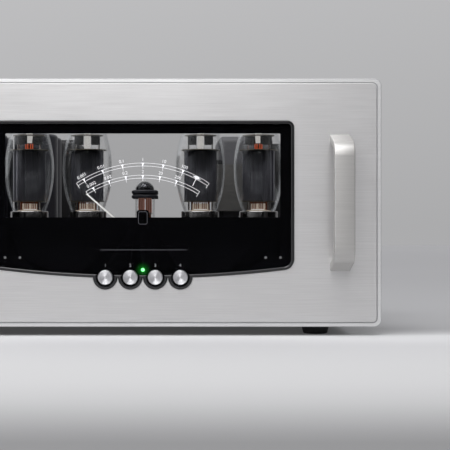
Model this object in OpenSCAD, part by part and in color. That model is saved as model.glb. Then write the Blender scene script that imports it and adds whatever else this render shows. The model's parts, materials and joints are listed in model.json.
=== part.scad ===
// Monoblock valve amplifier with a meter window, an assembly of separate named parts.
// Millimetres, +Z up, the front faces -Y, origin on the table under the middle of the whole object.

/* [Front panel] */
// Width of the front plate
panel_w = 482.6; // [450:0.1:510]
// Height of the front plate
panel_h = 251; // [240:1:270]
// Thickness of the front plate
panel_t = 10; // [9.5:0.1:13]
// Gap between the table and the plate's lower edge
panel_gap = 9; // [6:0.5:10]
// Corner radius of the plate
panel_corner_r = 7; // [6:0.5:12]
// Width of the lowered edge round the brushed field
rim_w = 4.6; // [3:0.1:6]
// Depth of the lowered edge below the field
rim_step = 1; // [0.5:0.1:2]
// Slope cut along the edges of the field and of the plate
edge_cut = 0.6; // [0.3:0.1:0.9]
// Width of the groove round the field
groove_w = 1; // [0.6:0.1:1.5]
// Depth of the groove
groove_t = 0.8; // [0.4:0.1:1.2]

/* [Window] */
// Width of the black bezel
bezel_w = 306; // [290:1:330]
// Height of the bezel above the panel's centre
bezel_rise = 83; // [80:0.5:95]
// Depth of the bezel below the panel's centre at its lowest
bezel_drop = 76.4; // [74:0.1:82]
// Radius of the long sweep along the bezel's lower edge
bezel_sweep_r = 1203; // [1000:1:1600]
// Radius of the bezel's upper corners
bezel_top_r = 7; // [6:0.5:10]
// Radius of the bezel's lower corners
bezel_low_r = 11; // [10:0.5:16]
// Width of the bezel's raised rim
bezel_rim = 3; // [2.4:0.1:4]
// How far the rim stands in front of the panel
bezel_proud = 2; // [1.5:0.1:3]
// Thickness of the clear window
lens_t = 4; // [3:0.1:4.5]
// Thickness of the black mask behind the window
mask_t = 1; // [0.6:0.1:1.5]
// Width of the clear opening in the mask
opening_w = 278.6; // [260:0.2:282]
// Height of the opening above the panel's centre
opening_rise = 70.2; // [60:0.2:71]
// Depth of the opening below the panel's centre
opening_drop = 14.8; // [10:0.2:20]
// Width of the tab at the middle of the opening's lower edge
tab_w = 12.6; // [10:0.2:16]
// Height of the tab above the opening's lower edge
tab_rise = 7.6; // [5:0.2:10]

/* [Meter] */
// Depth of the needle's pivot below the panel's centre
pivot_drop = 40.6; // [36:0.2:44]
// Length of the needle from its pivot
needle_len = 76; // [60:0.5:80]
// Width of the needle's blade
needle_w = 1.6; // [1:0.1:2.4]
// Lean of the needle at rest, left of upright
needle_rest = 49; // [40:0.5:55]
// Diameter of the needle's axle
axle_d = 2; // [1.6:0.1:3]
// Radial running clearance of the axle
axle_clear = 0.05; // [0.02:0.01:0.1]
// Diameter of the meter movement
movement_d = 36; // [30:0.5:40]
// Length of the meter movement
movement_t = 26; // [20:0.5:30]
// Thickness of the clear scale plate
scale_t = 2; // [1.5:0.1:2.5]
// Depth of the scale's centre below the panel's centre
scale_drop = 80; // [76:0.2:84]
// Radius of the outer scale line
scale_outer_r = 120.3; // [116:0.1:124]
// Radius of the inner scale line
scale_inner_r = 108; // [104:0.1:110]
// Distance between the two lines of one scale
scale_pair = 3; // [2.4:0.1:3.6]
// Width of an engraved line
scale_line = 0.5; // [0.4:0.1:1]

/* [Buttons] */
// Diameter of a button
button_d = 14.7; // [12:0.1:16]
// Distance between neighbouring buttons
button_pitch = 25.3; // [24.6:0.1:30]
// Depth of the buttons below the panel's centre
button_drop = 75.4; // [73:0.2:78]
// How far a button stands in front of the window
button_proud = 3; // [2.5:0.1:5]
// Travel of a button
button_travel = 1.8; // [1:0.1:2.2]
// Radius of the bezel's scallop round a button
scallop_r = 12.2; // [11.8:0.1:12.8]
// Diameter of a button's stem
stem_d = 4; // [3:0.1:5]
// Diameter of the power lamp
lamp_d = 3; // [2:0.1:4]
// Depth of the power lamp below the panel's centre
lamp_drop = 68; // [63:0.2:68.4]
// Diameter of a status lamp
status_d = 2; // [1.5:0.1:3]
// Distance of the inner status lamps from the middle
status_x = 124.5; // [110:0.5:128]
// Distance between the two status lamps of one side
status_pitch = 15; // [10:0.5:16]
// Depth of the status lamps below the panel's centre
status_drop = 55.5; // [45:0.5:57]

/* [Handles] */
// Distance of a handle from the middle
handle_x = 199.5; // [180:0.5:210]
// Width of a handle's bar
handle_w = 20.5; // [16:0.5:26]
// Thickness of a handle's bar
handle_t = 8; // [7:0.5:9.5]
// Reach of a handle in front of the panel
handle_reach = 38; // [32:0.5:50]
// Distance over a handle's two feet
handle_span = 137.7; // [120:0.5:160]
// Lean of a handle's arms
handle_lean = 16; // [5:1:25]
// Outer radius of a handle's bend
handle_bend_r = 17; // [10:0.5:20]

/* [Chassis] */
// Width of the chassis behind the panel
chassis_w = 430; // [425:1:440]
// Depth from the panel's front to the rear panel's outer face
body_depth = 400; // [395:1:450]
// Thickness of the chassis sheet
sheet_t = 2; // [1.5:0.1:3]
// Height of the chassis floor's underside above the table
floor_z = 11; // [10.5:0.5:14]
// Height of the deck's upper face above the table
deck_z = 102; // [98:0.5:106]
// Height of the panel braces above the deck
brace_h = 132; // [100:1:136]
// Length of the panel braces along the deck
brace_len = 100; // [60:1:120]
// Diameter of a foot at the top
foot_d = 30; // [26:0.5:36]
// Diameter of a foot at the table
foot_tip_d = 25; // [20:0.5:25.5]
// Distance of the feet from the middle
foot_x = 178; // [150:1:190]
// Distance of the front feet behind the panel's front
foot_front = 35; // [28:1:60]
// Distance of the rear feet in front of the rear panel
foot_rear = 40; // [28:1:60]

/* [Power tubes] */
// Distance of the outer power tubes from the middle
tube_outer_x = 122; // [119:0.5:128]
// Distance of the inner power tubes from the middle
tube_inner_x = 60.2; // [56:0.2:63]
// Depth of the power tubes behind the panel's front
tube_y = 75; // [68:0.5:84]
// Largest diameter of a power tube's bulb
bulb_d = 52.8; // [48:0.2:54]
// Height of the bulb's widest place above the base
bulb_belly = 45.5; // [40:0.5:50]
// Height of the bulb above the base
bulb_h = 102.5; // [98:0.5:110]
// Radius of the bulb's long side
bulb_side_r = 118; // [110:1:130]
// Thickness of the glass
glass_t = 1.2; // [0.8:0.1:1.4]
// Diameter of a power tube's base
base_d = 40.4; // [38:0.2:43]
// Height of a power tube's base
base_h = 17.5; // [14:0.5:22]
// Height of a power tube's socket above the deck
socket_h = 7; // [5:0.5:9]
// Width of the anode box
anode_w = 34; // [28:0.5:34.5]
// Depth of the anode box
anode_t = 18; // [14:0.5:18.5]
// Height of the anode box
anode_h = 53; // [44:0.5:54]
// Turn of the outer tubes' anodes about their own axis
anode_turn = 27; // [0:1:40]

/* [Driver tubes] */
// Depth of the front driver tube behind the panel's front
driver_y = 150; // [140:0.5:160]
// Distance between the two driver tubes
driver_pitch = 50; // [40:0.5:60]
// Diameter of a driver tube
driver_d = 21.5; // [20:0.1:23]
// Height of a driver tube above its socket
driver_h = 56.6; // [52:0.2:62]
// Height of a driver tube's socket above the deck
driver_socket_h = 3; // [2:0.2:5]
// Diameter of the damper ring on a driver tube
damper_d = 29.5; // [27:0.1:33]
// Height of the damper ring
damper_h = 9; // [7:0.2:12]

/* [Power parts] */
// Diameter of a filter capacitor
cap_d = 49; // [44:0.5:50]
// Height of a filter capacitor
cap_h = 112; // [90:1:116]
// Distance of the inner capacitors from the middle
cap_x = 123; // [122:0.5:126]
// Distance between neighbouring capacitors
cap_pitch = 57; // [53:0.5:60]
// Depth of the front capacitors behind the panel's front
cap_y = 165; // [160:0.5:170]
// Width of either transformer
trafo_w = 72; // [60:0.5:80]
// Height of either transformer above the deck
trafo_h = 113; // [100:0.5:116]
// Distance of a transformer's middle line from the middle
trafo_x = 116; // [112:0.5:120]
// Length of the mains transformer's core
core_len = 130; // [110:1:140]
// Depth of the mains core's front behind the panel's front
core_y = 190; // [180:1:200]
// Height of the mains core's stack of sheets
stack_h = 54; // [40:1:60]
// Length of the output transformer's can
can_len = 115; // [100:1:120]

/* [Rear] */
// Reach of the terminals behind the rear panel
terminal_reach = 28; // [26:0.5:34]
// Distance between neighbouring terminals
terminal_pitch = 28; // [24:0.5:32]
// Distance of the terminal row's middle from the middle
terminal_x = 110; // [100:0.5:125]
// Diameter of a terminal's post
post_d = 8; // [7:0.1:9]
// Diameter of the plug bore in a terminal
plug_d = 4; // [3.8:0.1:4.2]
// Depth of the plug bore in a terminal
plug_depth = 20; // [16:0.5:22]
// Diameter of a terminal's nut
nut_d = 17; // [14:0.5:20]
// Length of a terminal's nut
nut_len = 14; // [10:0.5:15]
// Radial running clearance of a terminal's nut
nut_clear = 0.06; // [0.02:0.01:0.1]
// Lean of the input switch's lever at rest
lever_lean = 12; // [8:0.5:13]
// Length of the input switch's lever from its pivot
lever_len = 15; // [11:0.5:18]

/* [Fits] */
// Gap round a piece that is let into another
fit_gap = 0.3; // [0.2:0.05:0.4]
// Gap round a piece that slides
slide_gap = 0.35; // [0.3:0.05:0.5]

/* [Hidden] */
$fn = 96;
// Over-reach of a cut past the face it opens
cut = 1;
total_depth = handle_reach + body_depth + terminal_reach;
front_y = handle_reach - total_depth / 2;
mid_z = panel_gap + panel_h / 2;
field_corner_r = max(panel_corner_r - 2.5, 1);
lens_front = 1 - bezel_proud;
lens_back = lens_front + lens_t;
mask_back = lens_back + mask_t;
ledge_w = 4;
ledge_t = 2;
bezel_back = mask_back + ledge_t;
button_hole_d = button_d + 2 * slide_gap;
bracket_t = 2;
bracket_back = panel_t + bracket_t;
pivot_z = mid_z - pivot_drop;
button_z = mid_z - button_drop;
needle_t = 0.8;
needle_front = mask_back + scale_t + 1;
hub_d = 10;
hub_t = 1.6;
boss_d = 14;
boss_front = needle_front + hub_t + 0.3;
axle_back = bracket_back + 12;
movement_back = bracket_back + movement_t;
cap_back = lens_front + 4.2;
switch_front = bracket_back + 6;
switch_t = 7;
switch_w = 9;
board_t = 1.6;
board_front = switch_front + switch_t;
board_low = button_z - 11;
board_high = button_z + 11;
board_w = 3 * button_pitch + 26;
inner_w = chassis_w - 2 * sheet_t;
rear_y = body_depth - sheet_t;
notch_w = movement_d + 26;
notch_y = movement_back + 5;
socket_z = deck_z + socket_h;
base_z = socket_z + base_h;
key_d = 8;
key_h = 9;
driver_z = deck_z + driver_socket_h;
damper_low = driver_z + driver_h - 19.6;
stack_z = deck_z + 26;
can_y = rear_y - 13 - can_len;
terminal_z = floor_z + (deck_z - floor_z) / 2;
bush_t = 3;
bush_d = nut_d + 3;
dish_r = 60;
dish_depth = 0.6;
deck_edge_h = 14;
stem_low_d = 26;
stem_top_d = 24;
stem_h = 2;
octal_pins = 8;
octal_circle_d = 17.45;
octal_pin_d = 2.4;
octal_pin_len = 9;
cage_z = 11.5;
cage_top = cage_z + anode_h;
lead_x = 8.8;
centre_d = 8.8;
post_x = 12.4;
mica_low_d = 36;
mica_mid_d = 41;
mica_top_d = 34;
mica_t = 1;
radiator_w = 9;
radiator_l = 10;
radiator_h = 9.4;
radiator_z = cage_top + 6.5;
foil_t = 0.8;
driver_mica_d = 16.5;
driver_mica_z = 20;
driver_anode_h = 24;
block_w = 10;
block_zs = [floor_z + sheet_t, deck_z - deck_edge_h - 16];
cap_roll_r = 4;
cap_recess = 1.5;
inlet_w = 50;
inlet_h = 27;
inlet_body_w = 28;
inlet_body_h = 21;
inlet_body_len = 18;
clamp_z = 8;
clamp_h = 10;
clamp_foot_w = 8;
socket_depth = 12;
socket_bore_depth = 10;
driver_socket_depth = 10;
collar_t = 1;
nut_from = body_depth + bush_t + collar_t + fit_gap + 3;
post_end = body_depth + terminal_reach;
rca_x = 14;
xlr_x = -34;
switch_x = 46;
inlet_x = -128;
lever_pivot = body_depth + 6;
floor_top = floor_z + sheet_t;
spacer_h = 12;
main_board_z = floor_top + spacer_h;
main_board_w = 260;
main_board_y = 90;
main_board_len = 220;
socket_body_d = 31;
driver_socket_body_d = 19;
side_screw_z = deck_z - 8;
side_screw_ys = [for (i = [0:3]) panel_t + 30 + i * (rear_y - panel_t - 60) / 3];
pin_d = 1.6;
pin_clear = 0.05;
button_xs = [for (i = [0:3]) (i - 1.5) * button_pitch];
tube_xs = [-tube_outer_x, -tube_inner_x, tube_inner_x, tube_outer_x];
tube_turns = [anode_turn, 0, 0, -anode_turn];
foot_ys = [foot_front, body_depth - foot_rear];
terminal_xs = [for (i = [0:3]) terminal_x + (i - 1.5) * terminal_pitch];
cap_spots = [
    [-cap_x, cap_y],
    [-cap_x, cap_y + cap_pitch],
    [-cap_x - cap_pitch, cap_y],
    [-cap_x - cap_pitch, cap_y + cap_pitch],
];

// Moves a part from the panel's own frame, where y is the depth behind its front, to the origin
module place() translate([0, front_y, 0]) children();

// Solid between two depths, from an outline drawn as seen from the front
module slab(from, to) translate([0, to, 0]) rotate([90, 0, 0]) linear_extrude(to - from) children();

// Round bar along the depth
module bar(d, from, to) translate([0, to, 0]) rotate([90, 0, 0]) cylinder(d = d, h = to - from);

// Rectangle with round corners, about the origin
module rounded(w, h, r) {
    square([w - 2 * r, h], center = true);
    square([w, h - 2 * r], center = true);
    for (sx = [-1, 1], sy = [-1, 1]) translate([sx * (w / 2 - r), sy * (h / 2 - r)]) circle(r);
}

// Points of an arc about a centre, from one angle to another
function arc(centre, r, from, to, steps) =
    [for (i = [0:steps]) let (a = from + (to - from) * i / steps) centre + r * [cos(a), sin(a)]];

// Outline of the bezel without its scallops, drawn in by an inset, about the panel's centre
module swept_outline(inset) {
    half = bezel_w / 2 - inset;
    top_r = max(bezel_top_r - inset, 0.6);
    low_r = bezel_low_r - inset;
    sweep_r = bezel_sweep_r - inset;
    sweep_z = bezel_sweep_r - bezel_drop;
    side_x = half - low_r;
    low_z = sweep_z - sqrt(pow(sweep_r - low_r, 2) - pow(side_x, 2));
    lean = asin(side_x / (sweep_r - low_r));
    top = [half - top_r, bezel_rise - inset - top_r];
    polygon(concat(
        arc([top[0], top[1]], top_r, 0, 90, 10),
        arc([-top[0], top[1]], top_r, 90, 180, 10),
        arc([-side_x, low_z], low_r, 180, 270 - lean, 12),
        [for (i = [1:47]) let (a = -lean + 2 * lean * i / 48) [sweep_r * sin(a), sweep_z - sweep_r * cos(a)]],
        arc([side_x, low_z], low_r, 270 + lean, 360, 12)
    ));
}

// Outline of the bezel with its scallops, drawn in by an inset
module window_outline(inset) {
    swept_outline(inset);
    for (x = button_xs) translate([x, -button_drop]) circle(scallop_r - inset);
}

// Four round holes for the buttons, about the panel's centre
module button_holes(d) for (x = button_xs) translate([x, -button_drop]) circle(d = d);

// Places of the status lamps, about the panel's centre
module at_status() for (s = [-1, 1], i = [0, 1])
    translate([s * (status_x + i * status_pitch), -status_drop]) children();

// Section of a plate's front layer, narrower by the slope of its edge towards the front
module sloped_section(w) polygon([[-w / 2, 0], [w / 2, 0], [w / 2 - edge_cut, edge_cut], [edge_cut - w / 2, edge_cut]]);

// Front layer of a plate with round corners, its edge sloping in towards the front
module sloped(from, w, h, r) translate([0, from + edge_cut, 0]) rotate([90, 0, 0]) {
    rotate([90, 0, 0]) linear_extrude(h - 2 * r, center = true) sloped_section(w);
    rotate([90, 0, 90]) linear_extrude(w - 2 * r, center = true) sloped_section(h);
    for (sx = [-1, 1], sy = [-1, 1]) translate([sx * (w / 2 - r), sy * (h / 2 - r), 0])
        cylinder(r1 = r, r2 = r - edge_cut, h = edge_cut);
}

module front_panel() color("gainsboro") translate([0, 0, mid_z]) difference() {
    field_w = panel_w - 2 * rim_w;
    field_h = panel_h - 2 * rim_w;
    union() {
        sloped(rim_step, panel_w, panel_h, panel_corner_r);
        slab(rim_step + edge_cut, panel_t) rounded(panel_w, panel_h, panel_corner_r);
        sloped(0, field_w, field_h, field_corner_r);
        slab(edge_cut, rim_step + groove_t + 0.5) rounded(field_w, field_h, field_corner_r);
    }
    slab(rim_step - cut, rim_step + groove_t) difference() {
        rounded(field_w + 2 * groove_w, field_h + 2 * groove_w, field_corner_r + groove_w);
        rounded(field_w, field_h, field_corner_r);
    }
    slab(-cut, panel_t + cut) window_outline(-fit_gap);
    at_handle_screws() bar(3.8, -cut, panel_t + cut);
    at_handle_screws() bar(7.6, panel_t - 3.2, panel_t + cut);
}

// Frame of the window, with a ledge behind the lens and the mask
module window_bezel() color("black") translate([0, 0, mid_z]) difference() {
    union() {
        slab(0.8 - bezel_proud, bezel_back) window_outline(0);
        slab(-bezel_proud, 1.2 - bezel_proud) window_outline(0.7);
    }
    slab(-bezel_proud - cut, mask_back) window_outline(bezel_rim);
    slab(-cut, bezel_back + cut) swept_outline(bezel_rim + ledge_w);
    slab(-cut, bezel_back + cut) button_holes(button_hole_d);
    translate([0, 0, -lamp_drop]) bar(lamp_d + 2 + 2 * fit_gap, 0, bezel_back + cut);
}

module window_lens() color([0.8, 0.9, 1, 0.3]) translate([0, 0, mid_z])
    slab(lens_front, lens_back) difference() {
        window_outline(bezel_rim + fit_gap);
        button_holes(button_hole_d);
    }

// Clear opening of the mask, with the tab standing in its lower edge
module opening() difference() {
    translate([0, (opening_rise - opening_drop) / 2])
        rounded(opening_w, opening_rise + opening_drop, 1);
    translate([0, -opening_drop]) rounded(tab_w, 2 * tab_rise, 3);
}

module window_mask() color("black") translate([0, 0, mid_z]) slab(lens_back, mask_back) difference() {
    window_outline(bezel_rim + fit_gap);
    opening();
    button_holes(button_hole_d);
    translate([0, -lamp_drop]) circle(d = lamp_d + 2 * fit_gap);
    at_status() circle(d = status_d + 2 * fit_gap);
}

// Ring sector standing upright about the scale's centre
module arc_line(r, half_angle) intersection() {
    difference() {
        circle(r + scale_line / 2, $fn = 360);
        circle(r - scale_line / 2, $fn = 360);
    }
    polygon([[0, 0], 2 * r * [-sin(half_angle), cos(half_angle)], [0, 3 * r],
             2 * r * [sin(half_angle), cos(half_angle)]]);
}

// Short line across a scale at an angle from upright
module tick(angle, from, to) rotate(-angle) translate([-scale_line / 2, from])
    square([scale_line, to - from]);

// One scale: two lines, ticks from the left end on, and brackets at both ends
module scale_lines(r, half_angle, step) {
    arc_line(r, half_angle);
    arc_line(r - scale_pair, half_angle);
    for (i = [-3:2]) tick(i * step, r - scale_pair - 3, r);
    for (s = [-1, 1]) tick(s * half_angle, r - scale_pair - 3, r);
}

// Clear plate behind the mask with the two scales engraved in its front
module scale_plate() color([0.85, 0.9, 0.95, 0.3]) translate([0, 0, mid_z]) difference() {
    slab(mask_back, mask_back + scale_t)
        translate([0, (opening_rise - opening_drop) / 2])
            square([opening_w + 5, opening_rise + opening_drop + 5], center = true);
    slab(mask_back - cut, mask_back + 0.4) translate([0, -scale_drop]) {
        scale_lines(scale_outer_r, 34, 10);
        scale_lines(scale_inner_r, 32.2, 9.3);
    }
}

// Blade, hub and axle that turn together
module needle() color("white") translate([0, 0, pivot_z]) {
    translate([0, needle_front, 0]) rotate([0, -needle_rest, 0])
        translate([-needle_w / 2, 0, -12]) cube([needle_w, needle_t, needle_len + 12]);
    bar(hub_d, needle_front, needle_front + hub_t);
    bar(axle_d, needle_front, axle_back);
}

module meter_movement() color("dimgray") translate([0, 0, pivot_z]) difference() {
    union() {
        bar(movement_d, bracket_back, movement_back);
        bar(boss_d, boss_front, bracket_back + cut);
    }
    bar(axle_d + 2 * axle_clear, boss_front - cut, axle_back + 0.5);
}

// Plate on the panel's back that carries the movement and guides the buttons
module control_bracket() color("silver") difference() {
    slab(panel_t, bracket_back) {
        translate([-board_w / 2, panel_gap + 9]) square([board_w, board_high - panel_gap - 9]);
        translate([-movement_d / 2 - 5, board_low])
            square([movement_d + 10, pivot_z + movement_d / 2 - board_low]);
    }
    for (x = button_xs) translate([x, 0, button_z]) bar(stem_d + 2 * slide_gap, 0, bracket_back + cut);
    translate([0, 0, pivot_z]) bar(boss_d + 2 * fit_gap, 0, bracket_back + cut);
}

// Cap with a dished front, and the stem that works its switch
module button(i) color("lightgray") translate([button_xs[i], 0, button_z]) difference() {
    union() {
        bar(button_d, lens_front - button_proud + 0.6, cap_back);
        translate([0, lens_front - button_proud + 0.6, 0]) rotate([90, 0, 0])
            cylinder(d1 = button_d, d2 = button_d - 1.2, h = 0.6);
        bar(stem_d, cap_back - cut, switch_front + 1.2);
    }
    translate([0, lens_front - button_proud + dish_depth - dish_r, 0]) sphere(r = dish_r, $fn = 300);
}

module switch_board() color("darkgreen") slab(board_front, board_front + board_t)
    translate([-board_w / 2, board_low]) square([board_w, board_high - board_low]);

// Four switches, each with a bore that takes its button's stem
module tact_switches() color("dimgray") for (x = button_xs) translate([x, 0, button_z]) difference() {
    slab(switch_front, board_front) square(switch_w, center = true);
    bar(stem_d + 2 * slide_gap, switch_front - cut, switch_front + 1.8 + button_travel);
}

// Light pipe in the mask, with a flange behind it
module lamp_pipe(d) {
    bar(d, lens_back + 0.2, mask_back + 1.5);
    bar(d + 2, mask_back, mask_back + 1.5);
}

module power_lamp() color("lime") translate([0, 0, mid_z - lamp_drop]) lamp_pipe(lamp_d);

module status_lamps() color("orange") for (s = [-1, 1], i = [0, 1])
    translate([s * (status_x + i * status_pitch), 0, mid_z - status_drop]) lamp_pipe(status_d);

// Side view of a handle's outline for one bend radius, x being the reach in front of the panel
module handle_loop(r) {
    front_half = handle_span / 2 - handle_reach * tan(handle_lean);
    bend_z = front_half - handle_bend_r * tan(45 - handle_lean / 2);
    bend_x = handle_reach - handle_bend_r;
    arm = [bend_x + r * sin(handle_lean), bend_z + r * cos(handle_lean)];
    root = [-2, arm[1] + (arm[0] + 2) * tan(handle_lean)];
    polygon([[root[0], -root[1]], [arm[0], -arm[1]], [bend_x + r, -bend_z],
             [bend_x + r, bend_z], arm, root]);
    for (s = [-1, 1]) translate([bend_x, s * bend_z]) circle(r);
}

// Places of the four handle screws, about the panel's centre
module at_handle_screws() for (sx = [-1, 1], sz = [-1, 1])
    translate([sx * handle_x, 0, sz * (handle_span / 2 - handle_t / 2 / cos(handle_lean) - 0.8)]) children();

// Side view of a handle's bent bar, cut off flat at the panel's face
module handle_side() difference() {
    handle_loop(handle_bend_r);
    handle_loop(handle_bend_r - handle_t);
    translate([-10, -handle_span]) square([10, 2 * handle_span]);
}

module handle(side) color("silver") translate([0, 0, mid_z]) difference() {
    translate([side * handle_x - handle_w / 2, 0, 0]) mirror([0, 1, 0]) rotate([90, 0, 90])
        linear_extrude(handle_w) handle_side();
    at_handle_screws() bar(3.4, -6.5, cut);
}

module handle_screws() color("dimgray") translate([0, 0, mid_z]) at_handle_screws() {
    bar(3.2, -6, panel_t - 2);
    bar(7, panel_t - 3.2, panel_t - 0.2);
}

module chassis_floor() color("dimgray") difference() {
    translate([-inner_w / 2, panel_t, floor_z]) cube([inner_w, rear_y - panel_t, sheet_t]);
    for (sx = [-1, 1], y = foot_ys) translate([sx * foot_x, y, floor_z - cut])
        cylinder(d = 9, h = sheet_t + 2 * cut);
    for (i = [-5:5]) translate([i * 14 - 2, body_depth / 2 - 30, floor_z - cut]) cube([4, 60, sheet_t + 2]);
}

// Places of the four rear screws, on the panel's own frame
module at_rear_screws(sides) for (s = sides, z = block_zs)
    translate([s * (inner_w - block_w) / 2, 0, z + block_w / 2]) children();

// Side sheet with two blocks inside its rear edge that take the rear panel's screws
module chassis_side(side) color("dimgray") difference() {
    union() {
        translate([side > 0 ? inner_w / 2 : -chassis_w / 2, panel_t, floor_z])
            cube([sheet_t, rear_y - panel_t, deck_z - floor_z]);
        for (z = block_zs) translate([side > 0 ? inner_w / 2 - block_w : -inner_w / 2 - sheet_t / 2,
                                      rear_y - block_w, z])
            cube([block_w + sheet_t / 2, block_w, block_w]);
    }
    at_rear_screws([side]) bar(3.6, rear_y - block_w - cut, rear_y + cut);
    for (y = side_screw_ys) translate([side * chassis_w / 2, y, side_screw_z]) rotate([0, 90, 0])
        cylinder(d = 3.6, h = 3 * sheet_t, center = true);
}

// Deck with a notch for the meter, holes for the sockets, vents, and a turned-down edge at each side
module deck_plate() color("dimgray") difference() {
    union() {
        translate([-inner_w / 2, panel_t, deck_z - sheet_t]) cube([inner_w, rear_y - panel_t, sheet_t]);
        for (s = [-1, 1])
            translate([s > 0 ? inner_w / 2 - sheet_t : -inner_w / 2, panel_t, deck_z - deck_edge_h])
                cube([sheet_t, rear_y - panel_t, deck_edge_h]);
    }
    translate([-notch_w / 2, panel_t - cut, deck_z - 20]) cube([notch_w, notch_y - panel_t + cut, 30]);
    for (x = tube_xs) translate([x, tube_y, deck_z - 20]) cylinder(d = socket_body_d + 2 * fit_gap, h = 30);
    for (i = [0, 1]) translate([0, driver_y + i * driver_pitch, deck_z - 20])
        cylinder(d = driver_socket_body_d + 2 * fit_gap, h = 30);
    for (i = [-4:4]) translate([i * 14 - 2.5, can_y, deck_z - 20]) cube([5, 0.7 * can_len, 30]);
    for (s = [-1, 1], y = side_screw_ys) translate([s * (inner_w / 2 - 1), y, side_screw_z])
        rotate([0, 90, 0]) cylinder(d = 3.6, h = 3 * sheet_t, center = true);
}

// Button-head screw standing on its seat, with a hexagon socket
module screw(len) difference() {
    union() {
        cylinder(d1 = 6.5, d2 = 4.5, h = 1.8);
        translate([0, 0, -len]) cylinder(d = 3, h = len + 0.5);
    }
    translate([0, 0, 0.8]) cylinder(d = 2.4, h = 2, $fn = 6);
}

// Screws along the upper edge of both sides, and four through the rear panel into the sides
module side_screws() color("silver") {
    for (s = [-1, 1], y = side_screw_ys) translate([s * chassis_w / 2, y, side_screw_z])
        rotate([0, s * 90, 0]) screw(2 * sheet_t + 3);
    at_rear_screws([-1, 1]) translate([0, body_depth, 0]) rotate([-90, 0, 0]) screw(sheet_t + block_w - 2);
}

// Sheet braces that tie the tall panel to the deck
module panel_braces() color("dimgray") for (s = [-1, 1]) mirror([s < 0 ? 1 : 0, 0, 0])
    translate([inner_w / 2 - sheet_t, panel_t, deck_z]) {
        rotate([90, 0, 90]) linear_extrude(sheet_t) polygon([
            [0, 0], [brace_len, 0], [brace_len, 12], [20, brace_h], [0, brace_h],
        ]);
        translate([-14, 0, 0]) cube([14 + sheet_t, brace_len, sheet_t]);
        translate([-14, 0, 0]) cube([14 + sheet_t, sheet_t, brace_h]);
    }

module rear_panel() color("dimgray") difference() {
    slab(rear_y, body_depth) translate([-chassis_w / 2, floor_z]) square([chassis_w, deck_z - floor_z]);
    for (x = terminal_xs) translate([x, 0, terminal_z]) bar(12 + 2 * fit_gap, rear_y - cut, body_depth + cut);
    translate([xlr_x, 0, terminal_z]) bar(23 + 2 * fit_gap, rear_y - cut, body_depth + cut);
    translate([rca_x, 0, terminal_z]) bar(9 + 2 * fit_gap, rear_y - cut, body_depth + cut);
    translate([switch_x, 0, terminal_z]) bar(8 + 2 * fit_gap, rear_y - cut, body_depth + cut);
    at_rear_screws([-1, 1]) bar(3.6, rear_y - cut, body_depth + cut);
    translate([inlet_x, 0, terminal_z]) slab(rear_y - cut, body_depth + cut)
        square([inlet_body_w + 2 * fit_gap, inlet_body_h + 2 * fit_gap], center = true);
}

// Tapered rubber feet, each with a plug through the floor
module rubber_feet() color("black") for (sx = [-1, 1], y = foot_ys) translate([sx * foot_x, y, 0]) {
    cylinder(d1 = foot_tip_d - 2, d2 = foot_tip_d, h = 1);
    translate([0, 0, 1]) cylinder(d1 = foot_tip_d, d2 = foot_d, h = floor_z - 1);
    translate([0, 0, floor_z - 1]) cylinder(d = 8.4, h = sheet_t + 3);
    translate([0, 0, floor_top + 0.3]) cylinder(d1 = 11.5, d2 = 7.5, h = 3);
}

// Half outline of a power tube's bulb, drawn in by an inset, from the base upwards
module bulb_half(inset) {
    side_x = bulb_side_r - bulb_d / 2;
    rise = bulb_h - bulb_belly;
    dome_r = (pow(bulb_side_r, 2) - pow(side_x, 2) - pow(rise, 2)) / (2 * (bulb_side_r - rise));
    dome_z = bulb_h - dome_r;
    join_z = dome_z + (dome_r - inset) * (dome_z - bulb_belly) / (bulb_side_r - dome_r);
    intersection() {
        translate([-side_x, bulb_belly]) circle(bulb_side_r - inset, $fn = 720);
        square([bulb_d, join_z]);
    }
    intersection() {
        translate([0, dome_z]) circle(dome_r - inset, $fn = 180);
        translate([0, join_z]) square([bulb_d, bulb_h]);
    }
}

module power_tube_glass(i) color([0.75, 0.8, 0.85, 0.3]) translate([tube_xs[i], tube_y, base_z])
    rotate_extrude() difference() {
        bulb_half(0);
        bulb_half(glass_t);
    }

// Section of an anode: a flattened box with a crimped seam at each side and two ribs on each face
module anode_section() {
    rounded(anode_w - 2, anode_t - 1, 3);
    square([anode_w, 1.2], center = true);
    for (sx = [-1, 1], sy = [-1, 1]) translate([sx * anode_w / 5, sy * (anode_t / 2 - 1)])
        circle(1.2, $fn = 24);
}

// Folded sheet round a grid post, open towards the middle
module radiator() linear_extrude(radiator_h) difference() {
    square([radiator_w, radiator_l], center = true);
    translate([-foil_t, 0]) square([radiator_w, radiator_l - 2 * foil_t], center = true);
}

// Stem, leads, spacers, anode box, radiators and centre tube of one valve, all carried by the leads
module power_tube_anode(i) color("slategray") translate([tube_xs[i], tube_y, base_z]) rotate(tube_turns[i]) {
    cylinder(d1 = stem_low_d, d2 = stem_top_d, h = stem_h);
    for (s = [-1, 1]) translate([s * lead_x, 0, stem_h / 2]) cylinder(d = 2.4, h = cage_z);
    for (s = [-1, 1]) translate([s * post_x, 0, stem_h / 2]) cylinder(d = 1.6, h = cage_top + 16);
    translate([0, 0, cage_z - 1.4]) cylinder(d = mica_low_d, h = mica_t);
    translate([0, 0, cage_z - 0.6]) linear_extrude(anode_h + 1) difference() {
        anode_section();
        rounded(anode_w - 5, anode_t - 4, 1.5);
    }
    for (s = [-1, 1]) translate([0, s * 4.4, cage_z - 0.6]) cylinder(d = 3.2, h = anode_h + 3);
    translate([0, 0, cage_top]) cylinder(d = mica_mid_d, h = mica_t);
    for (s = [-1, 1]) translate([s * lead_x, 0, radiator_z]) rotate(s > 0 ? 0 : 180) radiator();
    translate([0, 0, radiator_z + radiator_h - 0.4]) cylinder(d = mica_top_d, h = mica_t);
    translate([0, 0, cage_top + 0.5]) cylinder(d = centre_d, h = 19);
}

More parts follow.
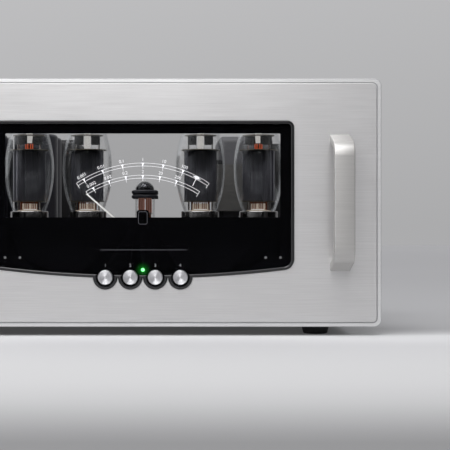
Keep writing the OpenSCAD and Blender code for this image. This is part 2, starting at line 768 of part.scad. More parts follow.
// Moulded bases, each with the key and the pins that enter its socket
module power_tube_bases() color("black") for (x = tube_xs) translate([x, tube_y, socket_z]) {
    cylinder(d = base_d, h = base_h - 2);
    translate([0, 0, base_h - 2]) cylinder(d1 = base_d, d2 = base_d - 2, h = 2);
    translate([0, 0, -key_h]) cylinder(d = key_d, h = key_h + cut);
    for (i = [1:octal_pins]) rotate(360 * i / octal_pins) translate([octal_circle_d / 2, 0, -octal_pin_len])
        cylinder(d = octal_pin_d, h = octal_pin_len + cut, $fn = 24);
}

// Sockets let into the deck, each with a bore for the key and one for each pin
module power_tube_sockets() color("whitesmoke") for (x = tube_xs) translate([x, tube_y, 0]) difference() {
    union() {
        translate([0, 0, deck_z]) cylinder(d = base_d + 1, h = socket_h);
        translate([0, 0, deck_z - socket_depth]) cylinder(d = socket_body_d, h = socket_depth + cut);
    }
    translate([0, 0, deck_z - socket_bore_depth])
        cylinder(d = key_d + 2 * fit_gap, h = socket_bore_depth + socket_h + cut);
    for (i = [1:octal_pins]) rotate(360 * i / octal_pins)
        translate([octal_circle_d / 2, 0, deck_z - socket_bore_depth])
            cylinder(d = octal_pin_d + 2 * fit_gap, h = socket_bore_depth + socket_h + cut, $fn = 24);
}

// Half outline of a driver tube, drawn in by an inset, from the socket upwards
module driver_half(inset) {
    dome_r = driver_d / 2;
    square([dome_r - inset, driver_h - dome_r]);
    intersection() {
        translate([0, driver_h - dome_r]) circle(dome_r - inset);
        translate([0, driver_h - dome_r - cut]) square([driver_d, driver_d]);
    }
}

module driver_tube_glass(i) color([0.75, 0.8, 0.85, 0.3])
    translate([0, driver_y + i * driver_pitch, driver_z]) {
        rotate_extrude() difference() {
            driver_half(0);
            translate([0, -cut]) square([driver_d / 2 - glass_t, cut + 0.01]);
            driver_half(glass_t);
        }
        translate([0, 0, driver_h - 0.6]) cylinder(d1 = 5, d2 = 2, h = 4);
    }

// Stem, leads, spacers and two anodes of each driver tube
module driver_tube_anodes() color("slategray") for (i = [0, 1])
    translate([0, driver_y + i * driver_pitch, driver_z]) {
        cylinder(d = driver_d - 2 * glass_t - 0.8, h = 3);
        for (s = [-1, 1]) translate([s * 4.2, 0, 2]) cylinder(d = 1.2, h = driver_mica_z);
        translate([0, 0, driver_mica_z]) cylinder(d = driver_mica_d, h = foil_t);
        for (s = [-1, 1]) translate([s * 4.2, 0, driver_mica_z + 0.4])
            linear_extrude(driver_anode_h) rounded(6.4, 10, 1.5);
        translate([0, 0, driver_mica_z + driver_anode_h]) cylinder(d = driver_mica_d, h = foil_t);
    }

// Ring with two ridges pushed over each driver tube
module tube_dampers() color("black") for (i = [0, 1])
    translate([0, driver_y + i * driver_pitch, damper_low]) difference() {
        union() {
            cylinder(d = damper_d - 2.4, h = damper_h);
            cylinder(d = damper_d, h = 0.36 * damper_h);
            translate([0, 0, 0.56 * damper_h]) cylinder(d = damper_d, h = 0.36 * damper_h);
        }
        translate([0, 0, -cut]) cylinder(d = driver_d + 2 * fit_gap, h = damper_h + 2 * cut);
    }

module driver_tube_sockets() color("whitesmoke") for (i = [0, 1])
    translate([0, driver_y + i * driver_pitch, 0]) {
        translate([0, 0, deck_z]) cylinder(d = driver_d + 5, h = driver_socket_h);
        translate([0, 0, deck_z - driver_socket_depth])
            cylinder(d = driver_socket_body_d, h = driver_socket_depth + cut);
    }

// Sleeved cans with a rounded upper edge round a lowered lid
module filter_capacitors() color("black") for (p = cap_spots) translate([p[0], p[1], deck_z])
    rotate_extrude() difference() {
        union() {
            square([cap_d / 2, cap_h - cap_roll_r]);
            square([cap_d / 2 - cap_roll_r, cap_h]);
            translate([cap_d / 2 - cap_roll_r, cap_h - cap_roll_r]) circle(cap_roll_r);
        }
        translate([0, cap_h - cap_recess]) square([cap_d / 2 - cap_roll_r - 1, cap_recess + cut]);
    }

// Bands with a foot that hold the capacitors to the deck
module capacitor_clamps() color("silver") for (p = cap_spots) translate([p[0], p[1], deck_z]) difference() {
    union() {
        translate([0, 0, clamp_z]) cylinder(d = cap_d + 2 * fit_gap + 2, h = clamp_h);
        translate([-clamp_foot_w / 2, -cap_d / 2 - 3, 0]) cube([clamp_foot_w, 2.5, clamp_z + clamp_h]);
    }
    translate([0, 0, -cut]) cylinder(d = cap_d + 2 * fit_gap, h = clamp_z + clamp_h + 2 * cut);
}

// Stack of core sheets lying flat, with its four bolts
module mains_core() color("dimgray") translate([trafo_x, core_y + core_len / 2, stack_z]) {
    linear_extrude(stack_h) square([trafo_w, core_len], center = true);
    for (sx = [-1, 1], sy = [-1, 1]) translate([sx * (trafo_w / 2 - 6), sy * (core_len / 2 - 6), 0]) {
        translate([0, 0, deck_z - stack_z]) cylinder(d = 7, h = stack_z - deck_z + cut);
        translate([0, 0, stack_h - cut]) cylinder(d = 9, h = 5 + cut, $fn = 6);
    }
}

// Upper and lower covers of the mains transformer's windings
module mains_bells() color("black") translate([trafo_x, core_y + core_len / 2, 0]) {
    bell_w = trafo_w - 8;
    bell_len = core_len - 32;
    top_h = trafo_h - (stack_z - deck_z) - stack_h;
    translate([0, 0, stack_z + stack_h]) intersection() {
        linear_extrude(top_h) rounded(bell_w, bell_len, 9);
        rotate([90, 0, 0]) linear_extrude(bell_len, center = true)
            translate([0, top_h / 2 - 10]) rounded(bell_w, top_h + 20, 8);
        rotate([90, 0, 90]) linear_extrude(bell_w, center = true)
            translate([0, top_h / 2 - 10]) rounded(bell_len, top_h + 20, 8);
    }
    translate([0, 0, deck_z]) linear_extrude(stack_z - deck_z) rounded(bell_w, bell_len, 9);
}

// Potted can with rounded edges and a foot flange
module output_transformer() color("black") translate([-trafo_x, can_y + can_len / 2, deck_z]) {
    intersection() {
        linear_extrude(trafo_h) rounded(trafo_w, can_len, 10);
        rotate([90, 0, 0]) linear_extrude(can_len, center = true)
            translate([0, trafo_h / 2 - 10]) rounded(trafo_w, trafo_h + 20, 8);
        rotate([90, 0, 90]) linear_extrude(trafo_w, center = true)
            translate([0, trafo_h / 2 - 10]) rounded(can_len, trafo_h + 20, 8);
    }
    linear_extrude(3) rounded(trafo_w + 14, can_len, 6);
}

module main_board() color("darkgreen") translate([-main_board_w / 2, main_board_y, main_board_z])
    cube([main_board_w, main_board_len, board_t]);

// Posts under the main board and behind the switch board
module board_spacers() color("silver") {
    for (sx = [-1, 1], sy = [0, 1])
        translate([sx * (main_board_w / 2 - 8), main_board_y + 8 + sy * (main_board_len - 16), floor_top])
            cylinder(d = 7, h = spacer_h);
    for (sx = [-1, 1]) translate([sx * (board_w / 2 - 4), 0, button_z]) bar(6, bracket_back, board_front);
}

// Metal posts with a plug bore, each with a collar that rests on its bush
module terminal_posts() color("gold") for (x = terminal_xs) translate([x, 0, terminal_z]) difference() {
    union() {
        bar(post_d, rear_y - 10, post_end);
        bar(post_d + 4, body_depth + bush_t, body_depth + bush_t + collar_t);
    }
    bar(plug_d, post_end - plug_depth, post_end + cut);
}

// Insulating bushes let into the rear panel
module terminal_bushes() color("black") for (x = terminal_xs) translate([x, 0, terminal_z]) difference() {
    union() {
        bar(12, rear_y - 3, body_depth + cut);
        bar(bush_d, body_depth, body_depth + bush_t);
    }
    bar(post_d + 2 * fit_gap, rear_y - 4, body_depth + bush_t + cut);
}

// Fluted nut that runs on a terminal's post
module terminal_nut(i) color("gold") translate([terminal_xs[i], 0, terminal_z]) difference() {
    union() {
        bar(nut_d - 3, nut_from - 3, nut_from + 1);
        bar(nut_d, nut_from, nut_from + nut_len);
    }
    bar(post_d + 2 * nut_clear, nut_from - 3 - cut, nut_from + nut_len + cut);
    for (a = [0:30:330]) rotate([0, a, 0]) translate([nut_d / 2 + 0.8, 0, 0])
        bar(3, nut_from + 2, nut_from + nut_len + cut, $fn = 24);
}

// Balanced input: flange, shell and insert with three contact holes
module xlr_input() color("dimgray") translate([xlr_x, 0, terminal_z]) difference() {
    union() {
        slab(body_depth, body_depth + 2) rounded(26, 31, 4);
        bar(23, rear_y - 14, body_depth + cut);
        for (s = [-1, 1]) translate([s * 9.5, 0, s * 12]) bar(5, body_depth + cut, body_depth + 3.4);
    }
    difference() {
        bar(18.6, body_depth - 10, body_depth + 2 + cut);
        bar(13.6, body_depth - 11, body_depth + 1);
    }
    for (a = [-60, 60, 180]) rotate([0, a, 0]) translate([0, 0, 3.6])
        bar(2.6, body_depth - 9, body_depth + 2 + cut, $fn = 32);
}

// Single-ended input: a barrel with a nut behind the panel
module rca_input() color("gold") translate([rca_x, 0, terminal_z]) difference() {
    union() {
        bar(8.3, rear_y - 12, body_depth + 10);
        bar(13, body_depth, body_depth + 2.4);
        bar(9, rear_y, body_depth + cut);
        bar(12, rear_y - 3, rear_y, $fn = 6);
    }
    bar(3.4, body_depth, body_depth + 10 + cut);
}

// Mains inlet: flange, hollow body and three flat pins
module mains_inlet() color("black") translate([inlet_x, 0, terminal_z]) {
    difference() {
        union() {
            slab(body_depth, body_depth + 3) rounded(inlet_w, inlet_h, 6);
            slab(rear_y - inlet_body_len, body_depth + cut)
                square([inlet_body_w, inlet_body_h], center = true);
            for (s = [-1, 1]) translate([s * (inlet_w / 2 - 5), 0, 0])
                bar(6, body_depth + cut, body_depth + 4.2);
        }
        slab(body_depth - inlet_body_len + 5, body_depth + 3 + cut)
            square([inlet_body_w - 4, inlet_body_h - 4], center = true);
    }
    for (p = [[-7, -2], [0, 2], [7, -2]]) translate([p[0], 0, p[1]])
        slab(body_depth - inlet_body_len + 4, body_depth - 2.2) square([2, 4], center = true);
}

// Body and threaded bush of the input switch, with its ring nut
module input_switch() color("silver") translate([switch_x, 0, terminal_z]) difference() {
    union() {
        slab(rear_y - 16, rear_y) square([13, 19], center = true);
        bar(8, rear_y - cut, body_depth + 9);
        bar(13, body_depth, body_depth + 2.4, $fn = 6);
    }
    bar(5.6, lever_pivot - 4, body_depth + 9 + cut);
    translate([0, lever_pivot, 0]) rotate([0, 90, 0])
        cylinder(d = pin_d + 2 * pin_clear, h = 12, center = true);
}

// Bat lever of the input switch, leaning up at rest, on its ball and cross pin
module switch_lever() color("silver") translate([switch_x, lever_pivot, terminal_z]) {
    sphere(d = 4.8);
    rotate([0, 90, 0]) cylinder(d = pin_d, h = 7.6, center = true);
    rotate([lever_lean, 0, 0]) rotate([-90, 0, 0]) {
        cylinder(d1 = 2, d2 = 3, h = lever_len - 1.5);
        translate([0, 0, lever_len - 1.5]) sphere(d = 3);
    }
}

place() front_panel();
place() window_bezel();
place() window_lens();
place() window_mask();
place() scale_plate();
place() needle();
place() meter_movement();
place() control_bracket();
place() button(0);  // button_1
place() button(1);  // button_2
place() button(2);  // button_3
place() button(3);  // button_4
place() switch_board();
place() tact_switches();
place() power_lamp();
place() status_lamps();
place() handle(-1);  // handle_left
place() handle(1);  // handle_right
place() handle_screws();
place() chassis_floor();
place() chassis_side(-1);  // chassis_side_left
place() chassis_side(1);  // chassis_side_right
place() deck_plate();
place() rear_panel();
place() panel_braces();
place() rubber_feet();
place() side_screws();
place() power_tube_glass(0);  // power_tube_glass_1
place() power_tube_glass(1);  // power_tube_glass_2
place() power_tube_glass(2);  // power_tube_glass_3
place() power_tube_glass(3);  // power_tube_glass_4
place() power_tube_anode(0);  // power_tube_anode_1
place() power_tube_anode(1);  // power_tube_anode_2
place() power_tube_anode(2);  // power_tube_anode_3
place() power_tube_anode(3);  // power_tube_anode_4
place() power_tube_bases();
place() power_tube_sockets();
place() driver_tube_glass(0);  // driver_tube_glass_1
place() driver_tube_glass(1);  // driver_tube_glass_2
place() driver_tube_anodes();
place() tube_dampers();
place() driver_tube_sockets();
place() filter_capacitors();
place() capacitor_clamps();
place() mains_core();
place() mains_bells();
place() output_transformer();
place() main_board();
place() board_spacers();
place() terminal_posts();
place() terminal_bushes();
place() terminal_nut(0);  // terminal_nut_1
place() terminal_nut(1);  // terminal_nut_2
place() terminal_nut(2);  // terminal_nut_3
place() terminal_nut(3);  // terminal_nut_4
place() xlr_input();
place() rca_input();
place() mains_inlet();
place() input_switch();
place() switch_lever();
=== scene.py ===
"""Monoblock valve amplifier: finishes, printed dial, insides of the valves and small fasteners."""
import json
import math

import bmesh
import bpy
from mathutils import Matrix, Vector

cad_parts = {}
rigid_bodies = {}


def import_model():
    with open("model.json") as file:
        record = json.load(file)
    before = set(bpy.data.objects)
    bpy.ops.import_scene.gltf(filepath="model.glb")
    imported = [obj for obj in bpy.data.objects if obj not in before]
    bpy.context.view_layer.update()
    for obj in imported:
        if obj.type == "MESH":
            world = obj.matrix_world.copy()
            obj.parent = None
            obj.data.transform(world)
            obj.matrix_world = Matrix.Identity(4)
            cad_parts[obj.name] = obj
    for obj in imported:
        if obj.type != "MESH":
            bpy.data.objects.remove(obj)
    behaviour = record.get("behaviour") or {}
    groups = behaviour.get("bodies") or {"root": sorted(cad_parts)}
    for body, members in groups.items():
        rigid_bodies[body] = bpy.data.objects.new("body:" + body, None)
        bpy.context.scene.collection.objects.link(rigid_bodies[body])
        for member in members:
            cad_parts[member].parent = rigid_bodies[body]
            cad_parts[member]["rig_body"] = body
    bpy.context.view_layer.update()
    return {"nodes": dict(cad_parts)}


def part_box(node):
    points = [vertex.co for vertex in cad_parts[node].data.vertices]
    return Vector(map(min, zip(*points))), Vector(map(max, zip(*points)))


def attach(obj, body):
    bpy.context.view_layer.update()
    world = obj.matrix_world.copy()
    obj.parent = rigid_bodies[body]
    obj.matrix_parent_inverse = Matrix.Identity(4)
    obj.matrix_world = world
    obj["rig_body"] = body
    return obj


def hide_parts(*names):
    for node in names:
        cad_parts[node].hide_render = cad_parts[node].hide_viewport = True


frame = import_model()

# Shapes are drawn in millimetres from the panel's front face: x to the right, y into the amplifier, z up
MM = 0.001
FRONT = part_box("front_panel")[0].y
PANEL_FRAME = Matrix.Translation((0, FRONT, 0)) @ Matrix.Scale(MM, 4)


def span(node):
    """Lowest and highest corner of a node, in millimetres from the panel's front."""
    return [PANEL_FRAME.inverted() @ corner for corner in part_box(node)]


def middle(node):
    """Centre of a node's box, in millimetres from the panel's front."""
    low, high = span(node)
    return (low + high) / 2


MID_Z = middle("front_panel").z


# Materials

def linear(code):
    """Linear colour of an sRGB hex value."""
    channels = [int(code[i:i + 2], 16) / 255 for i in (1, 3, 5)]
    return [c / 12.92 if c <= 0.04045 else ((c + 0.055) / 1.055) ** 2.4 for c in channels] + [1.0]


def add(tree, kind, inputs=None, **settings):
    """Adds a node, sets its properties, and fills or links its inputs."""
    node = tree.nodes.new(kind)
    for name, value in settings.items():
        setattr(node, name, value)
    for key, value in (inputs or {}).items():
        if isinstance(value, bpy.types.NodeSocket):
            tree.links.new(value, node.inputs[key])
        else:
            node.inputs[key].default_value = value
    return node


def blank_material(name):
    """Material with an empty tree."""
    material = bpy.data.materials.new(name)
    material.use_nodes = True
    material.node_tree.nodes.clear()
    return material, material.node_tree


def close_tree(tree, shader):
    """Joins a shader to the material's output."""
    add(tree, "ShaderNodeOutputMaterial", {"Surface": shader.outputs[0]})


def per_metre(grain_mm):
    """Scale along each axis for grains of a size in millimetres: one for all axes or one for each."""
    sizes = grain_mm if isinstance(grain_mm, tuple) else (grain_mm,) * 3
    return [1 / (MM * size) for size in sizes]


def grained(name, dark, light, grain_mm, rough, bump_mm=0.0, detail=3.0, **sockets):
    """Material whose colour, gloss and relief follow one noise of a real grain size."""
    material, tree = blank_material(name)
    place = add(tree, "ShaderNodeTexCoord")
    sized = add(tree, "ShaderNodeMapping", {
        "Vector": place.outputs["Object"], "Scale": per_metre(grain_mm),
    })
    noise = add(tree, "ShaderNodeTexNoise", {
        "Vector": sized.outputs[0], "Scale": 1.0, "Detail": detail, "Roughness": 0.6,
    })
    colour = add(tree, "ShaderNodeMix", {
        "Factor": noise.outputs["Fac"], 6: linear(dark), 7: linear(light),
    }, data_type="RGBA")
    gloss = add(tree, "ShaderNodeMapRange", {
        "Value": noise.outputs["Fac"], "From Min": 0.25, "From Max": 0.75,
        "To Min": rough[0], "To Max": rough[1],
    })
    relief = add(tree, "ShaderNodeBump", {
        "Height": noise.outputs["Fac"], "Strength": 1.0, "Distance": bump_mm * MM,
    })
    shader = add(tree, "ShaderNodeBsdfPrincipled", {
        "Base Color": colour.outputs[2], "Roughness": gloss.outputs[0], "Normal": relief.outputs[0],
        **sockets,
    })
    close_tree(tree, shader)
    return material


def brushed_aluminium(name, dark, light, rough):
    """Clear-anodised aluminium brushed sideways: fine level lines that smear light up and down.

    The real lines lie about 0.1 mm apart and are drawn 0.8 mm apart, so that they show.
    """
    material = grained(name, dark, light, (50, 50, 0.8), rough, bump_mm=0.003, detail=4.0,
                       Metallic=0.75, Anisotropic=0.35, **{"Anisotropic Rotation": 0.25})
    tree = material.node_tree
    sideways = add(tree, "ShaderNodeCombineXYZ", {"X": 1.0, "Y": 0.05, "Z": 0.02})
    shader = next(node for node in tree.nodes if node.type == "BSDF_PRINCIPLED")
    tree.links.new(sideways.outputs[0], shader.inputs["Tangent"])
    return material


def turned_aluminium():
    """Aluminium faced on a lathe: rings round the axis that smear light outwards into two bright wedges.

    The real rings are about 0.05 mm apart and are drawn 0.4 mm apart, so that they show.
    """
    material, tree = blank_material("turned aluminium")
    ring_mm = 0.4
    local = add(tree, "ShaderNodeUVMap", uv_map="turning")
    axes = add(tree, "ShaderNodeSeparateXYZ", {0: local.outputs[0]})
    radial = add(tree, "ShaderNodeCombineXYZ", {"X": axes.outputs["X"], "Z": axes.outputs["Y"]})
    radius = add(tree, "ShaderNodeVectorMath", {0: radial.outputs[0]}, operation="LENGTH")
    outward = add(tree, "ShaderNodeVectorMath", {0: radial.outputs[0]}, operation="NORMALIZE")
    ring = add(tree, "ShaderNodeMath", {0: radius.outputs["Value"], 1: ring_mm * MM}, operation="DIVIDE")
    number = add(tree, "ShaderNodeMath", {0: ring.outputs[0]}, operation="FLOOR")
    draw = add(tree, "ShaderNodeTexWhiteNoise", {"W": number.outputs[0]}, noise_dimensions="1D")
    tone = add(tree, "ShaderNodeMix", {
        "Factor": draw.outputs["Value"], 6: linear("#d2d2d6"), 7: linear("#eeeef0"),
    }, data_type="RGBA")
    gloss = add(tree, "ShaderNodeMapRange", {"Value": draw.outputs["Value"], "To Min": 0.36, "To Max": 0.46})
    shader = add(tree, "ShaderNodeBsdfPrincipled", {
        "Base Color": tone.outputs[2], "Metallic": 1.0, "Roughness": gloss.outputs[0],
        "Anisotropic": 0.95, "Tangent": outward.outputs[0],
    })
    close_tree(tree, shader)
    return material


def clear_sheet(name, tint, share_facing, share_edge):
    """Clear material: light passes straight through, and the surface mirrors more where it turns away."""
    material, tree = blank_material(name)
    facing = add(tree, "ShaderNodeLayerWeight", {"Blend": 0.5})
    edge = add(tree, "ShaderNodeMath", {0: facing.outputs["Facing"], 1: 4.0}, operation="POWER")
    share = add(tree, "ShaderNodeMapRange", {
        "Value": edge.outputs[0], "To Min": share_facing, "To Max": share_edge,
    })
    colour = add(tree, "ShaderNodeMix", {
        "Factor": edge.outputs[0], 6: linear(tint), 7: linear("#f4f6f7"),
    }, data_type="RGBA")
    place = add(tree, "ShaderNodeTexCoord")
    waves_per_metre = 60.0
    waver = add(tree, "ShaderNodeTexNoise", {
        "Vector": place.outputs["Object"], "Scale": waves_per_metre, "Detail": 1.0,
    })
    gloss = add(tree, "ShaderNodeMapRange", {"Value": waver.outputs["Fac"], "To Min": 0.02, "To Max": 0.07})
    shader = add(tree, "ShaderNodeBsdfPrincipled", {
        "Base Color": colour.outputs[2], "Metallic": 1.0, "Roughness": gloss.outputs[0],
        "Alpha": share.outputs[0],
    })
    close_tree(tree, shader)
    return material


def glowing(name, colour, light, strength, grain_mm=1.5):
    """Its own light, a little uneven, over a plain body colour: the light of a lamp or hot wire, or a painted
    glow on parts that give no light.
    """
    material, tree = blank_material(name)
    place = add(tree, "ShaderNodeTexCoord")
    sized = add(tree, "ShaderNodeMapping", {
        "Vector": place.outputs["Object"], "Scale": per_metre(grain_mm),
    })
    noise = add(tree, "ShaderNodeTexNoise", {"Vector": sized.outputs[0], "Scale": 1.0})
    tone = add(tree, "ShaderNodeMix", {
        "Factor": noise.outputs["Fac"], 6: linear(light), 7: linear(colour),
    }, data_type="RGBA")
    shader = add(tree, "ShaderNodeBsdfPrincipled", {
        "Base Color": linear(colour), "Roughness": 0.4,
        "Emission Color": tone.outputs[2], "Emission Strength": strength,
    })
    close_tree(tree, shader)
    return material


def printed_mask(lamp):
    """Matt black screen print behind the window, with the lamp's green light spilt round its hole."""
    material, tree = blank_material("matt black screen print")
    spill_mm = 10.0
    grain_mm = 0.3
    place = add(tree, "ShaderNodeTexCoord")
    centred = add(tree, "ShaderNodeMapping", {
        "Vector": place.outputs["Object"], "Location": [-c for c in lamp],
    })
    reach = add(tree, "ShaderNodeVectorMath", {0: centred.outputs[0]}, operation="LENGTH")
    fade = add(tree, "ShaderNodeMapRange", {
        "Value": reach.outputs["Value"], "From Max": spill_mm * MM, "To Min": 1.0, "To Max": 0.0,
    })
    glow = add(tree, "ShaderNodeMath", {0: fade.outputs[0], 1: 3.0}, operation="POWER")
    dim = add(tree, "ShaderNodeMath", {0: glow.outputs[0], 1: 0.5}, operation="MULTIPLY")
    grain = add(tree, "ShaderNodeTexNoise", {"Vector": place.outputs["Object"], "Scale": 1 / (grain_mm * MM)})
    gloss = add(tree, "ShaderNodeMapRange", {"Value": grain.outputs["Fac"], "To Min": 0.5, "To Max": 0.7})
    shader = add(tree, "ShaderNodeBsdfPrincipled", {
        "Base Color": linear("#0a0a0c"), "Roughness": gloss.outputs[0], "Specular IOR Level": 0.0,
        "Emission Color": linear("#1fd63a"), "Emission Strength": dim.outputs[0],
    })
    close_tree(tree, shader)
    return material


def laminated_steel():
    """Varnished silicon steel sheets, edge on: grey with dark seams, a little rust-brown in places.

    The sheets are 0.5 mm thick on the real core and the seams are drawn 2 mm apart, so that they show.
    """
    return grained("varnished silicon steel", "#545456", "#767470", (14, 14, 2.0), (0.4, 0.6),
                   bump_mm=0.03, Metallic=0.2)


panel_metal = brushed_aluminium("brushed anodised aluminium", "#d2d1d1", "#eae9e9", (0.28, 0.38))
# Rim of the plate: the same brushed lines, paler, a painted highlight for the light its edge catches
rim_painted_highlight = brushed_aluminium("cut aluminium edge", "#e4e4e4", "#fafafa", (0.28, 0.38))
# Groove round the field: darker grey, painted shade in the recess
groove_painted_shade = grained("milled aluminium groove", "#b2b2b4", "#c8c8ca", 1.5, (0.45, 0.6), Metallic=0.6)
handle_metal = brushed_aluminium("brushed aluminium bar", "#b0afad", "#c8c6c4", (0.36, 0.46))
button_metal = turned_aluminium()
# Moulded ABS, polished: dark grey, bright lines along the chamfers of the rim
bezel_plastic = grained("polished black ABS", "#151517", "#1d1d20", 0.6, (0.12, 0.2), bump_mm=0.002,
                        **{"Specular IOR Level": 0.6})
# Satin moulded plastic of small inner parts: dark, faintly grainy
inner_plastic = grained("black moulded nylon", "#17171a", "#26262a", 0.5, (0.45, 0.6), bump_mm=0.02)
# Coated acrylic, a little smoky: almost no mirror image at the front, a faint one from the side
window_acrylic = clear_sheet("coated smoky acrylic", "#18181b", 0.075, 0.5)
scale_acrylic = clear_sheet("clear acrylic scale", "#303236", 0.035, 0.5)
# Blown soda glass: see-through, with bright lines where the wall turns away
valve_glass = clear_sheet("blown soda glass", "#eef2f4", 0.035, 0.95)
# Pressed glass of the valve's foot: milky and pale, with a painted glow standing in for daylight caught in it
stem_glass_painted_glow = glowing("pressed glass stem", "#cfc0ae", "#f0e2d2", 0.4, grain_mm=(0.9, 0.9, 5))
# Fused glass bead: white, with a painted glow standing in for its bright highlight
frit_painted_glow = glowing("white glass frit", "#f0f0ee", "#ffffff", 0.5)
# White ink in the engraving, with a painted glow standing in for light from the edge of the plate
dial_ink_painted_glow = glowing("white filled engraving", "#f4f4f8", "#ffffff", 0.6)
# Lacquer on the needle: white and plain, with a painted glow
needle_ink_painted_glow = glowing("white lacquer", "#f4f4f0", "#ffffff", 0.35)
# Grey screen print: dim and flat on the black
grey_ink = grained("grey screen print", "#4c4c52", "#63636a", 0.4, (0.5, 0.6))
pale_ink = grained("pale screen print", "#a8a8ae", "#c4c4ca", 0.4, (0.5, 0.6))
# Carbonised nickel: dark grey, sooty, soft sheen down the folds
anode_metal = grained("carbonised nickel", "#5e5f68", "#acadb8", (1.4, 1.4, 30), (0.28, 0.5), bump_mm=0.03,
                      Metallic=0.3)
# Blackened copper radiators: nearly black and dull
radiator_metal = grained("blackened copper", "#141315", "#241f20", 1.5, (0.5, 0.65), Metallic=0.4)
# Natural mica: pale amber flakes with a silky shine
mica_sheet = grained("natural mica", "#6e685c", "#96907f", (4, 4, 0.4), (0.2, 0.4), bump_mm=0.02,
                     **{"Specular IOR Level": 0.8})
# Nickel shell of the valve's base, dark from heat
base_shell = grained("heat stained nickel", "#6c6b6c", "#989796", (3, 3, 1.2), (0.12, 0.24), Metallic=1.0)
# Drawn copper rod: reddish with pale drawing lines
copper_rod = grained("drawn copper", "#a4573a", "#d08a63", (0.5, 0.5, 6), (0.25, 0.4), Metallic=1.0)
# Copper-clad anodes of the small valves: red-brown, with a painted glow in lighter and darker streaks up
# their height
driver_metal_painted_glow = glowing("copper clad nickel", "#8c5446", "#e2b8aa", 0.28, grain_mm=(0.8, 0.8, 16))
# Polished nickel: bright and slightly warm
nickel = grained("polished nickel", "#c9c7c2", "#e6e4df", (2, 2, 6), (0.16, 0.3), Metallic=1.0)
# White alumina tube in the middle, with a painted glow standing in for its brightness in the light from above
# and its warmth from the heater
alumina = glowing("white alumina", "#f4f4f2", "#fffaf6", 0.5, grain_mm=3)
# Barium getter film: dark mirror on the inside of the glass
getter_film = grained("barium getter film", "#17171a", "#3a3a3f", 5, (0.08, 0.25), Metallic=0.9)
# Heater wire: orange hot, and the alumina round its end, brown with the glow inside
heater_glow = glowing("hot heater wire", "#c8381a", "#f08a58", 0.75)
heater_core = glowing("warm alumina", "#4a2019", "#8c4434", 0.22)
# Phenolic, compression moulded: black with a brownish depth and a soft polish
phenolic = grained("black phenolic", "#121113", "#1f1d1f", 1.2, (0.1, 0.18), bump_mm=0.004)
# Glazed steatite: ivory white, glassy
ceramic = grained("glazed steatite", "#d4cfc2", "#e6e2d8", 3, (0.12, 0.28), bump_mm=0.02)
# Silicone rubber: black, soft and a little dusty
rubber = grained("black silicone rubber", "#0c0c0d", "#1a1a1c", 0.8, (0.6, 0.8), bump_mm=0.03)
damper_rubber = grained("dark moulded rubber", "#14141c", "#20212c", 0.8, (0.35, 0.5), bump_mm=0.01)
# Powder coat on steel: black satin with a fine orange peel
powder_coat = grained("black powder coat", "#101011", "#1c1c1e", 0.7, (0.42, 0.58), bump_mm=0.05)
# Crackle paint: black wrinkles that catch light on their backs
crackle_paint = grained("black crackle paint", "#0b0b0c", "#222225", 1.3, (0.35, 0.65), bump_mm=0.25,
                        detail=5.0)
# Crackle paint on the mains transformer's covers: mid grey, dark in its cracks
grey_crackle = grained("grey crackle paint", "#3c3c40", "#68686c", 1.3, (0.4, 0.65), bump_mm=0.2,
                       detail=5.0)
# Shrunk PVC sleeve: slate black with a waxy shine
sleeve = grained("slate PVC sleeve", "#24242b", "#31313a", (6, 6, 3), (0.28, 0.42), bump_mm=0.06)
core_steel = laminated_steel()
# Gold flash on brass: warm and bright, faint turning marks
gold = grained("gold plated brass", "#c9973f", "#e6bd6a", (0.4, 3, 3), (0.16, 0.3), bump_mm=0.004,
               Metallic=1.0)
# Nickel plate on brass or zinc: bright grey
nickel_plate = grained("nickel plate", "#a9a8a4", "#c9c8c4", 1.5, (0.2, 0.36), Metallic=1.0)
# Zinc plate on steel: blue-grey spangle
zinc_steel = grained("zinc plated steel", "#9c9fa6", "#c3c5c9", 5, (0.28, 0.48), bump_mm=0.01, Metallic=1.0)
# Black oxide on steel screws: dark, oily
black_oxide = grained("black oxide steel", "#1b1b1d", "#303033", 0.8, (0.3, 0.45), Metallic=0.8)
# Solder mask on fibreglass: green, lighter over the copper tracks
solder_mask = grained("green solder mask", "#07301a", "#155a32", (14, 3, 3), (0.25, 0.4), bump_mm=0.03)
# Lit lamp under a clear dome: strong green, paler in the middle
green_lamp = glowing("green lamp", "#34dc54", "#9cf8ac", 3.6, grain_mm=4)
# Unlit light pipe: grey, waxy
clear_lamp = grained("frosted polycarbonate", "#a4a4a8", "#c4c4c8", 0.6, (0.3, 0.45))


# Making pieces

def placed(name, data):
    """New object in the scene."""
    made = bpy.data.objects.new(name, data)
    bpy.context.scene.collection.objects.link(made)
    return made


def mesh_of(name, bm):
    """Mesh from a finished drawing."""
    mesh = bpy.data.meshes.new(name)
    bm.to_mesh(mesh)
    bm.free()
    return mesh


def piece(name, bm, materials, nodes=(), body="amplifier", soften_mm=0.0, crease=35):
    """Finished piece from a mesh drawn in millimetres: placed, its faces turned out, and tied to its body."""
    bmesh.ops.recalc_face_normals(bm, faces=bm.faces)
    bmesh.ops.transform(bm, matrix=PANEL_FRAME, verts=bm.verts)
    return settle(mesh_of(name, bm), materials, nodes, body, soften_mm, crease)


def settle(mesh, materials, nodes, body, soften_mm=0.0, crease=35, clamp=False):
    """Object for a mesh in its place: smooth with sharp creases, softened edges, finish and body."""
    for material in materials:
        mesh.materials.append(material)
    mesh.shade_smooth()
    mesh.set_sharp_from_angle(angle=math.radians(crease))
    made = placed(mesh.name, mesh)
    if soften_mm:
        edge = made.modifiers.new("softened edges", "BEVEL")
        edge.width = soften_mm * MM
        edge.segments = 2
        edge.limit_method = "ANGLE"
        edge.angle_limit = math.radians(crease)
        edge.use_clamp_overlap = clamp
        flat = made.modifiers.new("flat faces stay flat", "WEIGHTED_NORMAL")
        flat.keep_sharp = True
        flat.weight = 90
    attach(made, body)
    if nodes:
        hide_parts(*nodes)
    return made


